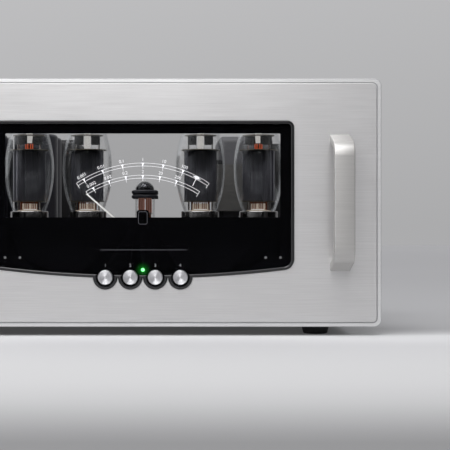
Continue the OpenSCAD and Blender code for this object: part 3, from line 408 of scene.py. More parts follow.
def solid_copy(node):
    """Copy of a node's solid, its loose triangles joined at their corners."""
    bm = bmesh.new()
    bm.from_mesh(frame["nodes"][node].data)
    bmesh.ops.remove_doubles(bm, verts=bm.verts, dist=0.002 * MM)
    for face in bm.faces:
        face.material_index = 0
    return bm


def softened(node, material, soften_mm):
    """The node's own solid with its sharp edges rounded a little."""
    bm = solid_copy(node)
    bmesh.ops.dissolve_limit(bm, angle_limit=math.radians(0.4), verts=bm.verts, edges=bm.edges)
    mesh = mesh_of(f"{node}.soft", bm)
    body = frame["nodes"][node]["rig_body"]
    return settle(mesh, [material], [node], body, soften_mm, clamp=node in SHORT_EDGED)


def skin(bm, rings, mat=0, closed=False):
    """Walls between rings of points, one after another: back to the first ring, or with both ends capped."""
    pairs = list(zip(rings, rings[1:]))
    if closed:
        pairs.append((rings[-1], rings[0]))
    else:
        bm.faces.new(rings[0][::-1]).material_index = mat
        bm.faces.new(rings[-1]).material_index = mat
    for here, there in pairs:
        for i in range(len(here)):
            j = (i + 1) % len(here)
            bm.faces.new((here[i], here[j], there[j], there[i])).material_index = mat


def full_turn(count):
    """Even angles round a circle."""
    return [2 * math.pi * i / count for i in range(count)]


def arc(x, y, r, start, end, steps):
    """Points of an arc between two angles, in degrees."""
    turns = [math.radians(start + (end - start) * i / steps) for i in range(steps + 1)]
    return [(x + r * math.cos(a), y + r * math.sin(a)) for a in turns]


def lathe(bm, profile, x=0.0, y=0.0, steps=64, mat=0, closed=False):
    """Turns a profile of radius and height about an upright axis."""
    turns = full_turn(steps)
    rings = []
    for r, z in profile:
        if r < 1e-6:
            rings.append([bm.verts.new((x, y, z))])
        else:
            rings.append([bm.verts.new((x + r * math.cos(a), y + r * math.sin(a), z)) for a in turns])
    pairs = list(zip(rings, rings[1:])) + ([(rings[-1], rings[0])] if closed else [])
    for low, high in pairs:
        for i in range(steps):
            j = (i + 1) % steps
            corners = [low[i % len(low)], low[j % len(low)], high[j % len(high)], high[i % len(high)]]
            face = list(dict.fromkeys(corners))
            if len(face) > 2:
                bm.faces.new(face).material_index = mat


def rod(bm, x, y, r, low, high, mat=0, steps=16):
    """Upright round rod with closed ends."""
    lathe(bm, [(0, low), (r, low), (r, high), (0, high)], x, y, steps, mat)


def prism(bm, outline, low, high, mat=0):
    """Upright prism on an outline of x and y."""
    skin(bm, [[bm.verts.new((x, y, z)) for x, y in outline] for z in (low, high)], mat)


def block(bm, low, high, mat=0):
    """Box between two corners."""
    (x0, y0, z0), (x1, y1, z1) = low, high
    prism(bm, [(x0, y0), (x1, y0), (x1, y1), (x0, y1)], z0, z1, mat)


def rounded(w, h, r, steps=5):
    """Outline of a rectangle with round corners, about its centre."""
    points = []
    for quarter, (sx, sy) in enumerate(((1, 1), (-1, 1), (-1, -1), (1, -1))):
        start = 90 * quarter
        points += arc(sx * (w / 2 - r), sy * (h / 2 - r), r, start, start + 90, steps)
    return points


def blank_tree(name, kinds):
    """Empty tree of geometry nodes with named inputs."""
    tree = bpy.data.node_groups.new(name, "GeometryNodeTree")
    tree.interface.new_socket("Geometry", in_out="OUTPUT", socket_type="NodeSocketGeometry")
    sockets = {
        key: tree.interface.new_socket(key, in_out="INPUT", socket_type=f"NodeSocket{kind}")
        for key, kind in kinds.items()
    }
    return tree, sockets, add(tree, "NodeGroupInput").outputs


def close_copies(tree, copies, material):
    """Makes the copies real, gives them their material and ends the tree."""
    real = add(tree, "GeometryNodeRealizeInstances", {"Geometry": copies.outputs[0]})
    finished = add(tree, "GeometryNodeSetMaterial", {"Geometry": real.outputs[0], "Material": material})
    add(tree, "NodeGroupOutput", {"Geometry": finished.outputs[0]})


def grown(tree, sockets, values, points=()):
    """Plain mesh that a tree of geometry nodes makes, from points in millimetres where it takes any."""
    seed_mesh = bpy.data.meshes.new(tree.name)
    seed_mesh.from_pydata(points, [], [])
    holder = placed(tree.name, seed_mesh)
    modifier = holder.modifiers.new(tree.name, "NODES")
    modifier.node_group = tree
    for name, value in values.items():
        modifier[sockets[name].identifier] = value
    view = bpy.context.evaluated_depsgraph_get()
    mesh = bpy.data.meshes.new_from_object(holder.evaluated_get(view))
    holder.modifiers.remove(modifier)
    bpy.data.objects.remove(holder)
    return mesh


def toothed(r, teeth=24, tooth=0.6):
    """Outline of a disc with small teeth, as a mica spacer has."""
    radii = [r - tooth, r, r, r - tooth]
    turns = full_turn(teeth * len(radii))
    return [(r * math.cos(a), r * math.sin(a)) for r, a in zip(radii * teeth, turns)]


# Solids that keep their form and get softened edges

# Outlines with edges too short for the full radius
SHORT_EDGED = ("output_transformer",)
# Finish, edge radius in millimetres, and nodes
SOFT_EDGES = (
    (inner_plastic, 0.6, "meter_movement"),
    (zinc_steel, 0.3, "control_bracket"),
    (powder_coat, 0.3, "chassis_floor chassis_side_left chassis_side_right deck_plate"),
    (powder_coat, 0.3, "rear_panel panel_braces"),
    (rubber, 0.4, "rubber_feet"),
    (phenolic, 0.5, "power_tube_bases"),
    (ceramic, 0.5, "power_tube_sockets driver_tube_sockets"),
    (damper_rubber, 0.5, "tube_dampers"),
    (sleeve, 0.4, "filter_capacitors"),
    (zinc_steel, 0.25, "capacitor_clamps"),
    (grey_crackle, 0.6, "mains_bells"),
    (crackle_paint, 0.6, "output_transformer"),
    (solder_mask, 0.1, "main_board switch_board"),
    (inner_plastic, 0.2, "tact_switches"),
    (nickel_plate, 0.2, "board_spacers"),
    (black_oxide, 0.2, "handle_screws"),
    (gold, 0.25, "terminal_posts"),
    (bezel_plastic, 0.3, "terminal_bushes"),
    (gold, 0.25, "terminal_nut_1 terminal_nut_2 terminal_nut_3 terminal_nut_4"),
    (nickel_plate, 0.25, "xlr_input"),
    (gold, 0.2, "rca_input"),
    (inner_plastic, 0.25, "mains_inlet"),
    (nickel_plate, 0.2, "input_switch"),
)
for finish, edge_mm, nodes in SOFT_EDGES:
    for node in nodes.split():
        softened(node, finish, edge_mm)


# Front plate and handles

RIM_STEP = 1.0
GROOVE_DEPTH = 0.8


def front_plate():
    """The plate as it is: a paler rim that is a painted highlight, and the sloped edge and the groove round
    the field darker, painted shade.
    """
    made = softened("front_panel", panel_metal, 0.0)
    made.data.materials.append(groove_painted_shade)
    made.data.materials.append(rim_painted_highlight)
    slack = 0.05
    for face in made.data.polygons:
        below = (face.center.y - FRONT) / MM - RIM_STEP
        if abs(below) < slack:
            # Rim faces: paler finish, a painted highlight
            face.material_index = 2
        elif slack < below < slack + GROOVE_DEPTH:
            # Groove faces: darker finish, painted shade
            face.material_index = 1


HANDLE_BEND = 17.0
HANDLE_BAR = 8.0
HANDLE_LEAN = 16.0
HANDLE_EDGE = 1.2


def handle_loop(node, r):
    """Side view of a handle's face at a distance from the bends' centres, as reach and height."""
    low, high = span(node)
    reach = -low.y
    lean = math.radians(HANDLE_LEAN)
    corner_z = (high.z - low.z) / 2 - reach * math.tan(lean)
    bend_z = corner_z - HANDLE_BEND * math.tan(math.pi / 4 - lean / 2)
    bend = arc(reach - HANDLE_BEND, bend_z, r, 90 - HANDLE_LEAN, 0, 20)
    arm_y, arm_z = bend[0]
    upper = [(0.0, arm_z + arm_y * math.tan(lean))] + bend
    return upper + [(y, -z) for y, z in reversed(upper)]


def handle(node):
    """Flat bar bent twice, its arms leaning apart towards the panel, with rounded edges."""
    low, high = span(node)
    centre = middle(node)
    section = rounded(high.x - low.x, HANDLE_BAR, HANDLE_EDGE, 4)
    outside = handle_loop(node, HANDLE_BEND)
    inside = handle_loop(node, HANDLE_BEND - HANDLE_BAR)
    bm = bmesh.new()
    rings = []
    for (oy, oz), (iy, iz) in zip(outside, inside):
        ring = []
        for across, through in section:
            share = through / HANDLE_BAR + 0.5
            ring.append(bm.verts.new((centre.x + across, -(iy + (oy - iy) * share),
                                      centre.z + iz + (oz - iz) * share)))
        rings.append(ring)
    skin(bm, rings)
    piece(f"{node}.bar", bm, [handle_metal], [node], crease=40)


front_plate()
handle("handle_left")
handle("handle_right")


# Solids shown as they are

PLAIN_SOLIDS = {
    "window_lens": window_acrylic,
    "scale_plate": scale_acrylic,
    "needle": needle_ink_painted_glow,
    "power_lamp": green_lamp,
    "status_lamps": clear_lamp,
    "switch_lever": nickel_plate,
}
for node, material in PLAIN_SOLIDS.items():
    frame["nodes"][node].data.materials.clear()
    frame["nodes"][node].data.materials.append(material)


def mask_sheet():
    """The mask's solid, thinned so that a hair's breadth of air parts it from the window and the scale."""
    air = 0.1
    bm = solid_copy("window_mask")
    bmesh.ops.transform(bm, matrix=PANEL_FRAME.inverted(), verts=bm.verts)
    low, high = span("window_mask")
    centre = (low.y + high.y) / 2
    share = 1 - 2 * air / (high.y - low.y)
    for vert in bm.verts:
        vert.co.y = centre + (vert.co.y - centre) * share
    piece("mask_sheet", bm, [printed_mask(PANEL_FRAME @ middle("power_lamp"))], ["window_mask"])


mask_sheet()


# Bezel

BEZEL_HALF = span("window_bezel")[1].x
BEZEL_RISE = span("window_bezel")[1].z - MID_Z
BEZEL_DROP = 76.4
BEZEL_TOP_R = 7.0
BEZEL_LOW_R = 11.0
BEZEL_RIM = 3.0
BEZEL_LEDGE = 4.0
SWEEP_R = 1203.0
SCALLOP_R = 12.2
BUTTON_BORE_R = 7.7
BUTTONS = [middle(f"button_{number}") for number in range(1, 5)]


def bezel_loop(inset):
    """Outline of the bezel about the panel's middle, drawn in by an inset, with a fixed count of points."""
    half = BEZEL_HALF - inset
    top_r = max(BEZEL_TOP_R - inset, 0.6)
    low_r = BEZEL_LOW_R - inset
    sweep_r = SWEEP_R - inset
    sweep_z = SWEEP_R - BEZEL_DROP
    side_x = half - low_r
    low_z = sweep_z - math.sqrt((sweep_r - low_r) ** 2 - side_x ** 2)
    lean = math.degrees(math.asin(side_x / (sweep_r - low_r)))
    top_z = BEZEL_RISE - inset - top_r
    points = arc(-side_x, low_z, low_r, 180, 270 - lean, 12)
    start = -90 - lean
    for button in BUTTONS:
        away = math.hypot(button.x, sweep_z - button.z + MID_Z)
        radius = max(SCALLOP_R - inset, BUTTON_BORE_R)
        along = (sweep_r ** 2 - radius ** 2 + away ** 2) / (2 * away)
        spread = math.degrees(math.acos(along / sweep_r))
        middle_turn = math.degrees(math.atan2(button.z - MID_Z - sweep_z, button.x))
        points += arc(0, sweep_z, sweep_r, start, middle_turn - spread, 8)[1:]
        enters, leaves = (
            math.degrees(math.atan2(x - button.x, button.z - MID_Z - z)) - 90
            for x, z in arc(0, sweep_z, sweep_r, middle_turn - spread, middle_turn + spread, 1)
        )
        points += arc(button.x, button.z - MID_Z, radius, enters, leaves, 28)[1:]
        start = middle_turn + spread
    points += arc(0, sweep_z, sweep_r, start, -90 + lean, 24)[1:]
    points += arc(side_x, low_z, low_r, 270 + lean, 360, 12)[1:]
    points += arc(half - top_r, top_z, top_r, 0, 90, 10)
    points += arc(top_r - half, top_z, top_r, 90, 180, 10)
    return points


def ring_of_loops(bm, profile):
    """Closed frame through bezel outlines, each at its own inset and depth."""
    loops = []
    for inset, y in profile:
        loops.append([bm.verts.new((x, y, z + MID_Z)) for x, z in bezel_loop(inset)])
    skin(bm, loops, closed=True)


def bezel():
    """Moulded frame with a chamfered rim, and the ledge behind the window, bored for the buttons."""
    low, high = span("window_bezel")
    front, back = low.y, high.y
    outer = 1.0
    inner = 0.8
    rim = [(0, back), (0, front + outer), (outer, front)]
    rim += [(BEZEL_RIM - inner, front), (BEZEL_RIM, front + inner), (BEZEL_RIM, back)]
    ledge = span("window_mask")[1].y
    ledge_in = BEZEL_RIM + BEZEL_LEDGE
    ledge_out = BEZEL_RIM - 0.5
    bm = bmesh.new()
    ring_of_loops(bm, rim)
    ring_of_loops(bm, [(ledge_out, ledge), (ledge_in, ledge), (ledge_in, back), (ledge_out, back)])
    piece("bezel_frame", bm, [bezel_plastic], ["window_bezel"])


bezel()


# Buttons

def button_cap(node):
    """The button's solid with rounded edges and the turning axis written into a UV map."""
    made = softened(node, button_metal, 0.3)
    axis = PANEL_FRAME @ middle(node)
    turning = made.data.uv_layers.get("turning") or made.data.uv_layers.new(name="turning")
    for loop in made.data.loops:
        spot = made.data.vertices[loop.vertex_index].co - axis
        turning.data[loop.index].uv = (spot.x, spot.z)


for number in range(1, 5):
    button_cap(f"button_{number}")


# Power valves

BULB_D = 52.8
BULB_BELLY = 45.5
BULB_SIDE_R = 118.0
GLASS_WALL = 1.2
ANODE_LOW = 11.5
ANODE_HIGH = 64.5
FILM_LOW = 94.0
GETTER_Z = ANODE_HIGH + 27
SHELL_LOW = -10.0
SHELL_IN = 16.0
LEAD_X = 8.8
POST_X = 12.4
RADIATOR_X = 13.0
SEAM_X = 16.2
# Radius and height of each toothed spacer
SPACERS = ((18, ANODE_LOW - 1.4), (20.5, ANODE_HIGH), (17, ANODE_HIGH + 15.5))
BASE_Z = span("power_tube_glass_1")[0].z
BULB_H = span("power_tube_glass_1")[1].z - BASE_Z
BASE_R = span("power_tube_bases")[1].x - middle("power_tube_glass_4").x
# Turn of each valve's cage about its own axis, in degrees, and whether its cathode shows its glow
CAGES = {1: (27, True), 2: (0, False), 3: (0, False), 4: (-27, True)}


def bulb_profile(inset, steps=20):
    """Half outline of the bulb from its foot to its crown: a long side that runs into a round dome."""
    side_x = BULB_SIDE_R - BULB_D / 2
    rise = BULB_H - BULB_BELLY
    dome_r = (BULB_SIDE_R ** 2 - side_x ** 2 - rise ** 2) / (2 * (BULB_SIDE_R - rise))
    dome_z = BULB_H - dome_r
    side_r = BULB_SIDE_R - inset
    join = math.degrees(math.atan2(dome_z - BULB_BELLY, side_x))
    foot = -math.degrees(math.asin(BULB_BELLY / side_r))
    side = arc(-side_x, BULB_BELLY, side_r, foot, join, steps)
    return side + arc(0, dome_z, dome_r - inset, join, 90, steps)[1:]


def power_bulb(number):
    """Blown bulb with its wall."""
    node = f"power_tube_glass_{number}"
    centre = middle(node)
    outside = [(r, z + BASE_Z) for r, z in bulb_profile(0.0)]
    inside = [(r, z + BASE_Z) for r, z in bulb_profile(GLASS_WALL)]
    bm = bmesh.new()
    lathe(bm, outside + inside[::-1], centre.x, centre.y, 96, closed=True)
    piece(f"power_bulb_{number}", bm, [valve_glass], [node], crease=60)


def power_cage(number):
    """Stem, leads, mica spacers, ribbed anode, radiators, alumina tube and getter of one valve."""
    sooty, mica, copper, bright, stem, black, white, hot, film, warm, shell, bead = range(12)
    turn, glows = CAGES[number]
    bm = bmesh.new()
    # Metal shell round the top of the base, flare and pinch of the stem, and the bead at its foot
    shell_r = BASE_R + 0.15
    outer = [(shell_r, SHELL_LOW), (shell_r, -0.6), (shell_r - 0.6, 0.2)]
    lathe(bm, outer + [(SHELL_IN, 0.2), (SHELL_IN, SHELL_LOW)], mat=shell, steps=96, closed=True)
    lathe(bm, [(0, 0.05), (14, 0.05), (12.6, 0.7), (8.4, 1.6), (0, 1.8)], mat=stem, steps=48)
    prism(bm, rounded(17, 5, 2.2), 1.2, ANODE_LOW - 3.2, stem)
    lathe(bm, [(6.0, 0.6), (7.6, 0.4), (7.6, 2.1), (6.8, 2.5), (6.0, 2.1)], mat=bead, steps=48, closed=True)
    for s in (-1, 1):
        rod(bm, s * LEAD_X, 0, 1.2, 1, ANODE_LOW + 1, copper)
        rod(bm, s * POST_X, 0, 0.8, 1, ANODE_HIGH + 16, bright)
        for x in (2, 4, 6):
            for y in (-2.9, 2.9):
                rod(bm, s * x, y, 0.5, 2.4, ANODE_LOW + 1, copper, 10)
        rod(bm, 0, s * 4.4, 1.0, ANODE_LOW - 2, ANODE_HIGH + 1.8, copper)
        # Radiator of folded sheet on the grid post
        fin_low, fin_high = ANODE_HIGH + 6.5, ANODE_HIGH + 15.9
        for y in (-5, 4.4):
            block(bm, (s * LEAD_X - 4.5, y, fin_low), (s * LEAD_X + 4.5, y + 0.6, fin_high), black)
        block(bm, (s * RADIATOR_X - 0.3, -4.4, fin_low), (s * RADIATOR_X + 0.3, 4.4, fin_high), black)
    for r, low in SPACERS:
        prism(bm, toothed(r), low, low + 1, mica)
    # Anode: a flattened box with ribs pressed into its faces and a crimped seam at each side
    prism(bm, rounded(32, 17, 3), ANODE_LOW - 0.4, ANODE_HIGH, sooty)
    for s in (-1, 1):
        block(bm, (s * SEAM_X - 1.0, -0.6, ANODE_LOW), (s * SEAM_X + 1.0, 0.6, ANODE_HIGH - 0.6), sooty)
        for x in (-6.8, 6.8):
            rib = [(x + px, s * (8.3 + py)) for px, py in ((-1.3, 0), (-0.8, 0.8), (0.8, 0.8), (1.3, 0))]
            prism(bm, rib[::s], ANODE_LOW, ANODE_HIGH - 0.6, sooty)
    # Alumina tube in the middle, and the heater that shows below it where the cage is turned
    tube_low = ANODE_HIGH + (8 if glows else 0.9)
    tube_high = ANODE_HIGH + 19
    lathe(bm, [(0, tube_low), (2.9, tube_low), (3.5, tube_low + 6), (3.5, tube_high), (0, tube_high)],
          mat=white, steps=32)
    if glows:
        rod(bm, 0, 0, 3.7, ANODE_HIGH + 0.9, tube_low - 0.05, warm, 32)
        for a in full_turn(8):
            rod(bm, 3.9 * math.cos(a), 3.9 * math.sin(a), 0.45, ANODE_HIGH + 1.2, tube_low - 0.8, hot, 8)
        ring_low, ring_high = ANODE_HIGH + 1.0, ANODE_HIGH + 2.0
        lathe(bm, [(3.6, ring_low), (4.5, ring_low), (4.5, ring_high), (3.6, ring_high)],
              mat=hot, steps=32, closed=True)
    # Getter ring on its stand, and the film it left inside the crown
    rod(bm, 0, 0, 0.6, ANODE_HIGH + 18, GETTER_Z, bright, 10)
    ring = [(5 + 0.7 * math.cos(a), GETTER_Z + 0.7 * math.sin(a)) for a in full_turn(4)]
    lathe(bm, ring, mat=bright, steps=32, closed=True)
    block(bm, (-5, -0.3, GETTER_Z - 0.3), (5, 0.3, GETTER_Z + 0.3), bright)
    film_outside = [p for p in bulb_profile(GLASS_WALL + 0.15) if p[1] > FILM_LOW]
    film_inside = [(r * 0.985, z - 0.15) for r, z in film_outside[::-1]]
    lathe(bm, film_outside + film_inside, mat=film, steps=64, closed=True)
    centre = middle(f"power_tube_glass_{number}")
    stand = Matrix.Translation((centre.x, centre.y, BASE_Z)) @ Matrix.Rotation(math.radians(turn), 4, "Z")
    bmesh.ops.transform(bm, matrix=stand, verts=bm.verts)
    finishes = [
        anode_metal, mica_sheet, copper_rod, nickel, stem_glass_painted_glow, radiator_metal,
        alumina, heater_glow, getter_film, heater_core, base_shell, frit_painted_glow,
    ]
    piece(f"power_cage_{number}", bm, finishes, [f"power_tube_anode_{number}"])


for number in CAGES:
    power_bulb(number)
    power_cage(number)


# Driver valves

DRIVER_TIP = 3.4
DRIVER_WALL = 0.8
DRIVER_SPACERS = (20, 44)
DRIVER_MICA = 0.8
DRIVER_ANODE_X = 4.1


def driver_profile(node, inset, steps=12):
    """Half outline of a small bulb: straight wall, round crown."""
    low, high = span(node)
    radius = (high.x - low.x) / 2
    r = radius - inset
    return [(r, 0.0)] + arc(0, high.z - low.z - DRIVER_TIP - radius, r, 0, 90, steps)


def driver_bulb(number):
    """Small bulb drawn out to a sealed tip."""
    node = f"driver_tube_glass_{number}"
    centre = middle(node)
    foot_z = span(node)[0].z
    crown = driver_profile(node, 0.0)
    top = crown[-1][1]
    tip_r = 2.4
    tip = [(tip_r, top - 0.2), (1.3, top + 1.6), (0.8, top + 3.2), (0, top + DRIVER_TIP)]
    outline = [(0, 0)] + [p for p in crown if p[0] > tip_r] + tip
    bm = bmesh.new()
    lathe(bm, [(r, z + foot_z) for r, z in outline], centre.x, centre.y, 64)
    piece(f"driver_bulb_{number}", bm, [valve_glass], [node], crease=60)


def driver_cages():
    """Foot, leads, spacers, two anodes and the dark film in the crown of each small valve."""
    copper_clad, mica, copper, stem, film = range(5)
    bm = bmesh.new()
    for number in (1, 2):
        node = f"driver_tube_glass_{number}"
        low, high = span(node)
        x, y, _ = middle(node)
        z = low.z
        radius = (high.x - low.x) / 2 - 1.4
        foot = [(0, 0.2), (radius, 0.2), (radius - 0.4, 2), (radius - 3, 3.4), (0, 3.6)]
        lathe(bm, [(r, z + h) for r, h in foot], x, y, 40, stem)
        lower, upper = (z + height for height in DRIVER_SPACERS)
        # Leads stand on nine of ten even places
        for a in full_turn(10)[:9]:
            rod(bm, x + 6 * math.cos(a), y + 6 * math.sin(a), 0.5, z + 2, lower, copper, 8)
        for spacer in (lower, upper):
            rod(bm, x, y, 8.2, spacer, spacer + DRIVER_MICA, mica, 40)
        for s in (-1, 1):
            anode_x = x + s * DRIVER_ANODE_X
            outline = [(anode_x + px, y + py) for px, py in rounded(6.4, 10, 1.5)]
            prism(bm, outline, lower + DRIVER_MICA, upper, copper_clad)
            for px in (-2, 0, 2):
                for py in (-5, 5):
                    rod(bm, anode_x + px, y + py, 0.45, lower + DRIVER_MICA, upper, copper, 8)
        inner = driver_profile(node, DRIVER_WALL)
        film_outside = [(inner[0][0], 46.0)] + inner[1:]
        film_inside = [(r * 0.98, h - 0.2) for r, h in film_outside[::-1]]
        lathe(bm, [(r, h + z) for r, h in film_outside + film_inside], x, y, 48, film, closed=True)
    piece("driver_cages", bm, [driver_metal_painted_glow, mica_sheet, copper_rod, stem_glass_painted_glow, getter_film],
          ["driver_tube_anodes"])


for number in (1, 2):
    driver_bulb(number)
driver_cages()


# Dial

SCALE_DROP = 80.0
INK_FRONT = span("scale_plate")[0].y + 0.05
INK_DEPTH = 0.3
SCALE_LINE = 0.36
SCALE_PAIR = 3.0
# Each scale: radius of its upper line, half its sweep, step between its ticks, and its plain numbers
SCALES = (
    (120.3, 34.0, 10.0, ("0.001", "0.01", "0.1", "1", "10", "100")),
    (108.0, 32.2, 9.3, ("0.002", "0.02", "0.2", "2", "20", "200")),
)
FIRST_TICK = -3
TICK_LENGTH = 6.0
FIGURE_SIZE = 4.6
FIGURE_RISE = 3.4
WEDGE_HALF = 1.3
WEDGE_DROP = 3.0
BRACKET_DROP = 6.0
MARK_TURN = 27.4
MARK_R = 118.8


def arc_strip(bm, radius, half_angle, steps=64):
    """Thin curved bar of ink about the scale's centre."""
    rings = []
    for i in range(steps + 1):
        a = math.radians(half_angle) * (2 * i / steps - 1)
        ring = []
        for r in (radius - SCALE_LINE / 2, radius + SCALE_LINE / 2):
            for y in (INK_FRONT, INK_FRONT + INK_DEPTH):
                ring.append(bm.verts.new((r * math.sin(a), y, MID_Z - SCALE_DROP + r * math.cos(a))))
        rings.append([ring[0], ring[1], ring[3], ring[2]])
    skin(bm, rings)


def stroke(bm, outline, place, y=INK_FRONT, depth=INK_DEPTH):
    """Flat patch of ink from an outline of x and z, laid on by a matrix."""
    skin(bm, [[bm.verts.new(place @ Vector((x, deep, z))) for x, z in outline] for deep in (y, y + depth)])


def bar_outline(left, right, low, high):
    """Outline of a flat bar."""
    return [(left, low), (right, low), (right, high), (left, high)]


def numeral(bm, text, size, place):
    """Figures as thin solids, standing upright and facing forward, laid on by a matrix."""
    font = bpy.data.curves.new("figures", "FONT")
    font.body = text
    font.size = size
    font.extrude = INK_DEPTH / 2
    font.align_x = "CENTER"
    font.align_y = "CENTER"
    font.resolution_u = 3
    holder = placed("figures", font)
    mesh = bpy.data.meshes.new_from_object(holder)
    mesh.transform(place @ Matrix.Rotation(math.pi / 2, 4, "X"))
    bm.from_mesh(mesh)
    bpy.data.objects.remove(holder)
    bpy.data.meshes.remove(mesh)


def about_scale(degrees):
    """Turn about the scale's centre, right of upright."""
    return Matrix.Translation((0, 0, MID_Z - SCALE_DROP)) @ Matrix.Rotation(math.radians(degrees), 4, "Y")


def dial_print():
    """Lines, end brackets, pointer mark and plain numbers of both scales."""
    bm = bmesh.new()
    for radius, half_angle, step, labels in SCALES:
        arc_strip(bm, radius, half_angle)
        arc_strip(bm, radius - SCALE_PAIR, half_angle)
        bracket = bar_outline(-SCALE_LINE / 2, SCALE_LINE / 2, radius - BRACKET_DROP, radius)
        for end in (-half_angle, half_angle):
            stroke(bm, bracket, about_scale(end))
        for i, label in enumerate(labels):
            turn = (i + FIRST_TICK) * step
            lift = Matrix.Translation((0, INK_FRONT + INK_DEPTH / 2, radius + FIGURE_RISE))
            numeral(bm, label, FIGURE_SIZE, about_scale(turn) @ lift)
            wedge = [(WEDGE_HALF, radius), (0, radius - WEDGE_DROP), (-WEDGE_HALF, radius)]
            stroke(bm, wedge, about_scale(turn))
    mark = [(-4.6, 0), (0, -1.5), (4.6, 0), (0, 1.5)]
    stroke(bm, [(x, z + MARK_R) for x, z in mark], about_scale(MARK_TURN))
    stroke(bm, bar_outline(-0.3, 0.3, 109.5, 118), about_scale(MARK_TURN))
    piece("dial_print", bm, [dial_ink_painted_glow])


def scale_ticks(radius, step, count):
    """Short ticks below one scale: a row of bars turned about the scale's centre."""
    tree, sockets, given = blank_tree("scale ticks", {
        "Count": "Int", "First": "Int", "Step": "Float", "Radius": "Float", "Bar size": "Vector",
        "Ink": "Material",
    })
    bar = add(tree, "GeometryNodeMeshCube", {"Size": given["Bar size"]})
    raised = add(tree, "ShaderNodeCombineXYZ", {"Z": given["Radius"]})
    lifted = add(tree, "GeometryNodeTransform", {
        "Geometry": bar.outputs["Mesh"], "Translation": raised.outputs[0],
    })
    row = add(tree, "GeometryNodeMeshLine", {"Count": given["Count"], "Offset": (0, 0, 0)})
    index = add(tree, "GeometryNodeInputIndex")
    order = add(tree, "ShaderNodeMath", {0: index.outputs[0], 1: given["First"]}, operation="ADD")
    angle = add(tree, "ShaderNodeMath", {0: order.outputs[0], 1: given["Step"]}, operation="MULTIPLY")
    turn = add(tree, "ShaderNodeCombineXYZ", {"Y": angle.outputs[0]})
    copies = add(tree, "GeometryNodeInstanceOnPoints", {
        "Points": row.outputs["Mesh"], "Instance": lifted.outputs[0], "Rotation": turn.outputs[0],
    })
    close_copies(tree, copies, given["Ink"])
    return grown(tree, sockets, {
        "Count": count, "First": FIRST_TICK, "Step": math.radians(step), "Radius": radius,
        "Bar size": (SCALE_LINE, INK_DEPTH, TICK_LENGTH), "Ink": dial_ink_painted_glow,
    })


def tick_rows():
    """Ticks of both scales, one piece."""
    bm = bmesh.new()
    for radius, _, step, labels in SCALES:
        mesh = scale_ticks(radius - SCALE_PAIR, step, len(labels))
        mesh.transform(Matrix.Translation((0, INK_FRONT + INK_DEPTH / 2, MID_Z - SCALE_DROP)))
        bm.from_mesh(mesh)
    piece("dial_ticks", bm, [dial_ink_painted_glow])


dial_print()
tick_rows()


# Print on the mask

PRINT_DEPTH = 0.06
RULE_Z = 86.8
RULE_ENDS = (-43, 45)
TAB_Z = 119.2
NUMBER_RISE = 12.0
NUMBER_SIZE = 4.4


def mask_print():
    """Plain rule, outline in the tab and a number over each button."""
    bm = bmesh.new()
    front = span("window_mask")[0].y - 0.08
    rule = bar_outline(*RULE_ENDS, RULE_Z - 0.3, RULE_Z + 0.3)
    stroke(bm, rule, Matrix.Identity(4), front, PRINT_DEPTH)
    outer = rounded(9.4, 13.2, 2.2)
    inner = rounded(8.4, 12.2, 1.7)
    back = front + PRINT_DEPTH
    loops = []
    for outline, y in ((outer, front), (inner, front), (inner, back), (outer, back)):
        loops.append([bm.verts.new((x, y, z + TAB_Z)) for x, z in outline])
    skin(bm, loops, closed=True)
    piece("mask_print", bm, [grey_ink])
    bm = bmesh.new()
    for number, button in enumerate(BUTTONS, 1):
        place = Matrix.Translation((button.x, front, button.z + NUMBER_RISE))
        numeral(bm, str(number), NUMBER_SIZE, place)
    piece("button_numbers", bm, [pale_ink])


mask_print()


# Mains core

CORE_FOOT = 26
CORE_BOLT_TOP = 5
CORE_BOLT_IN = 6
CORE_PITCH = 1.0


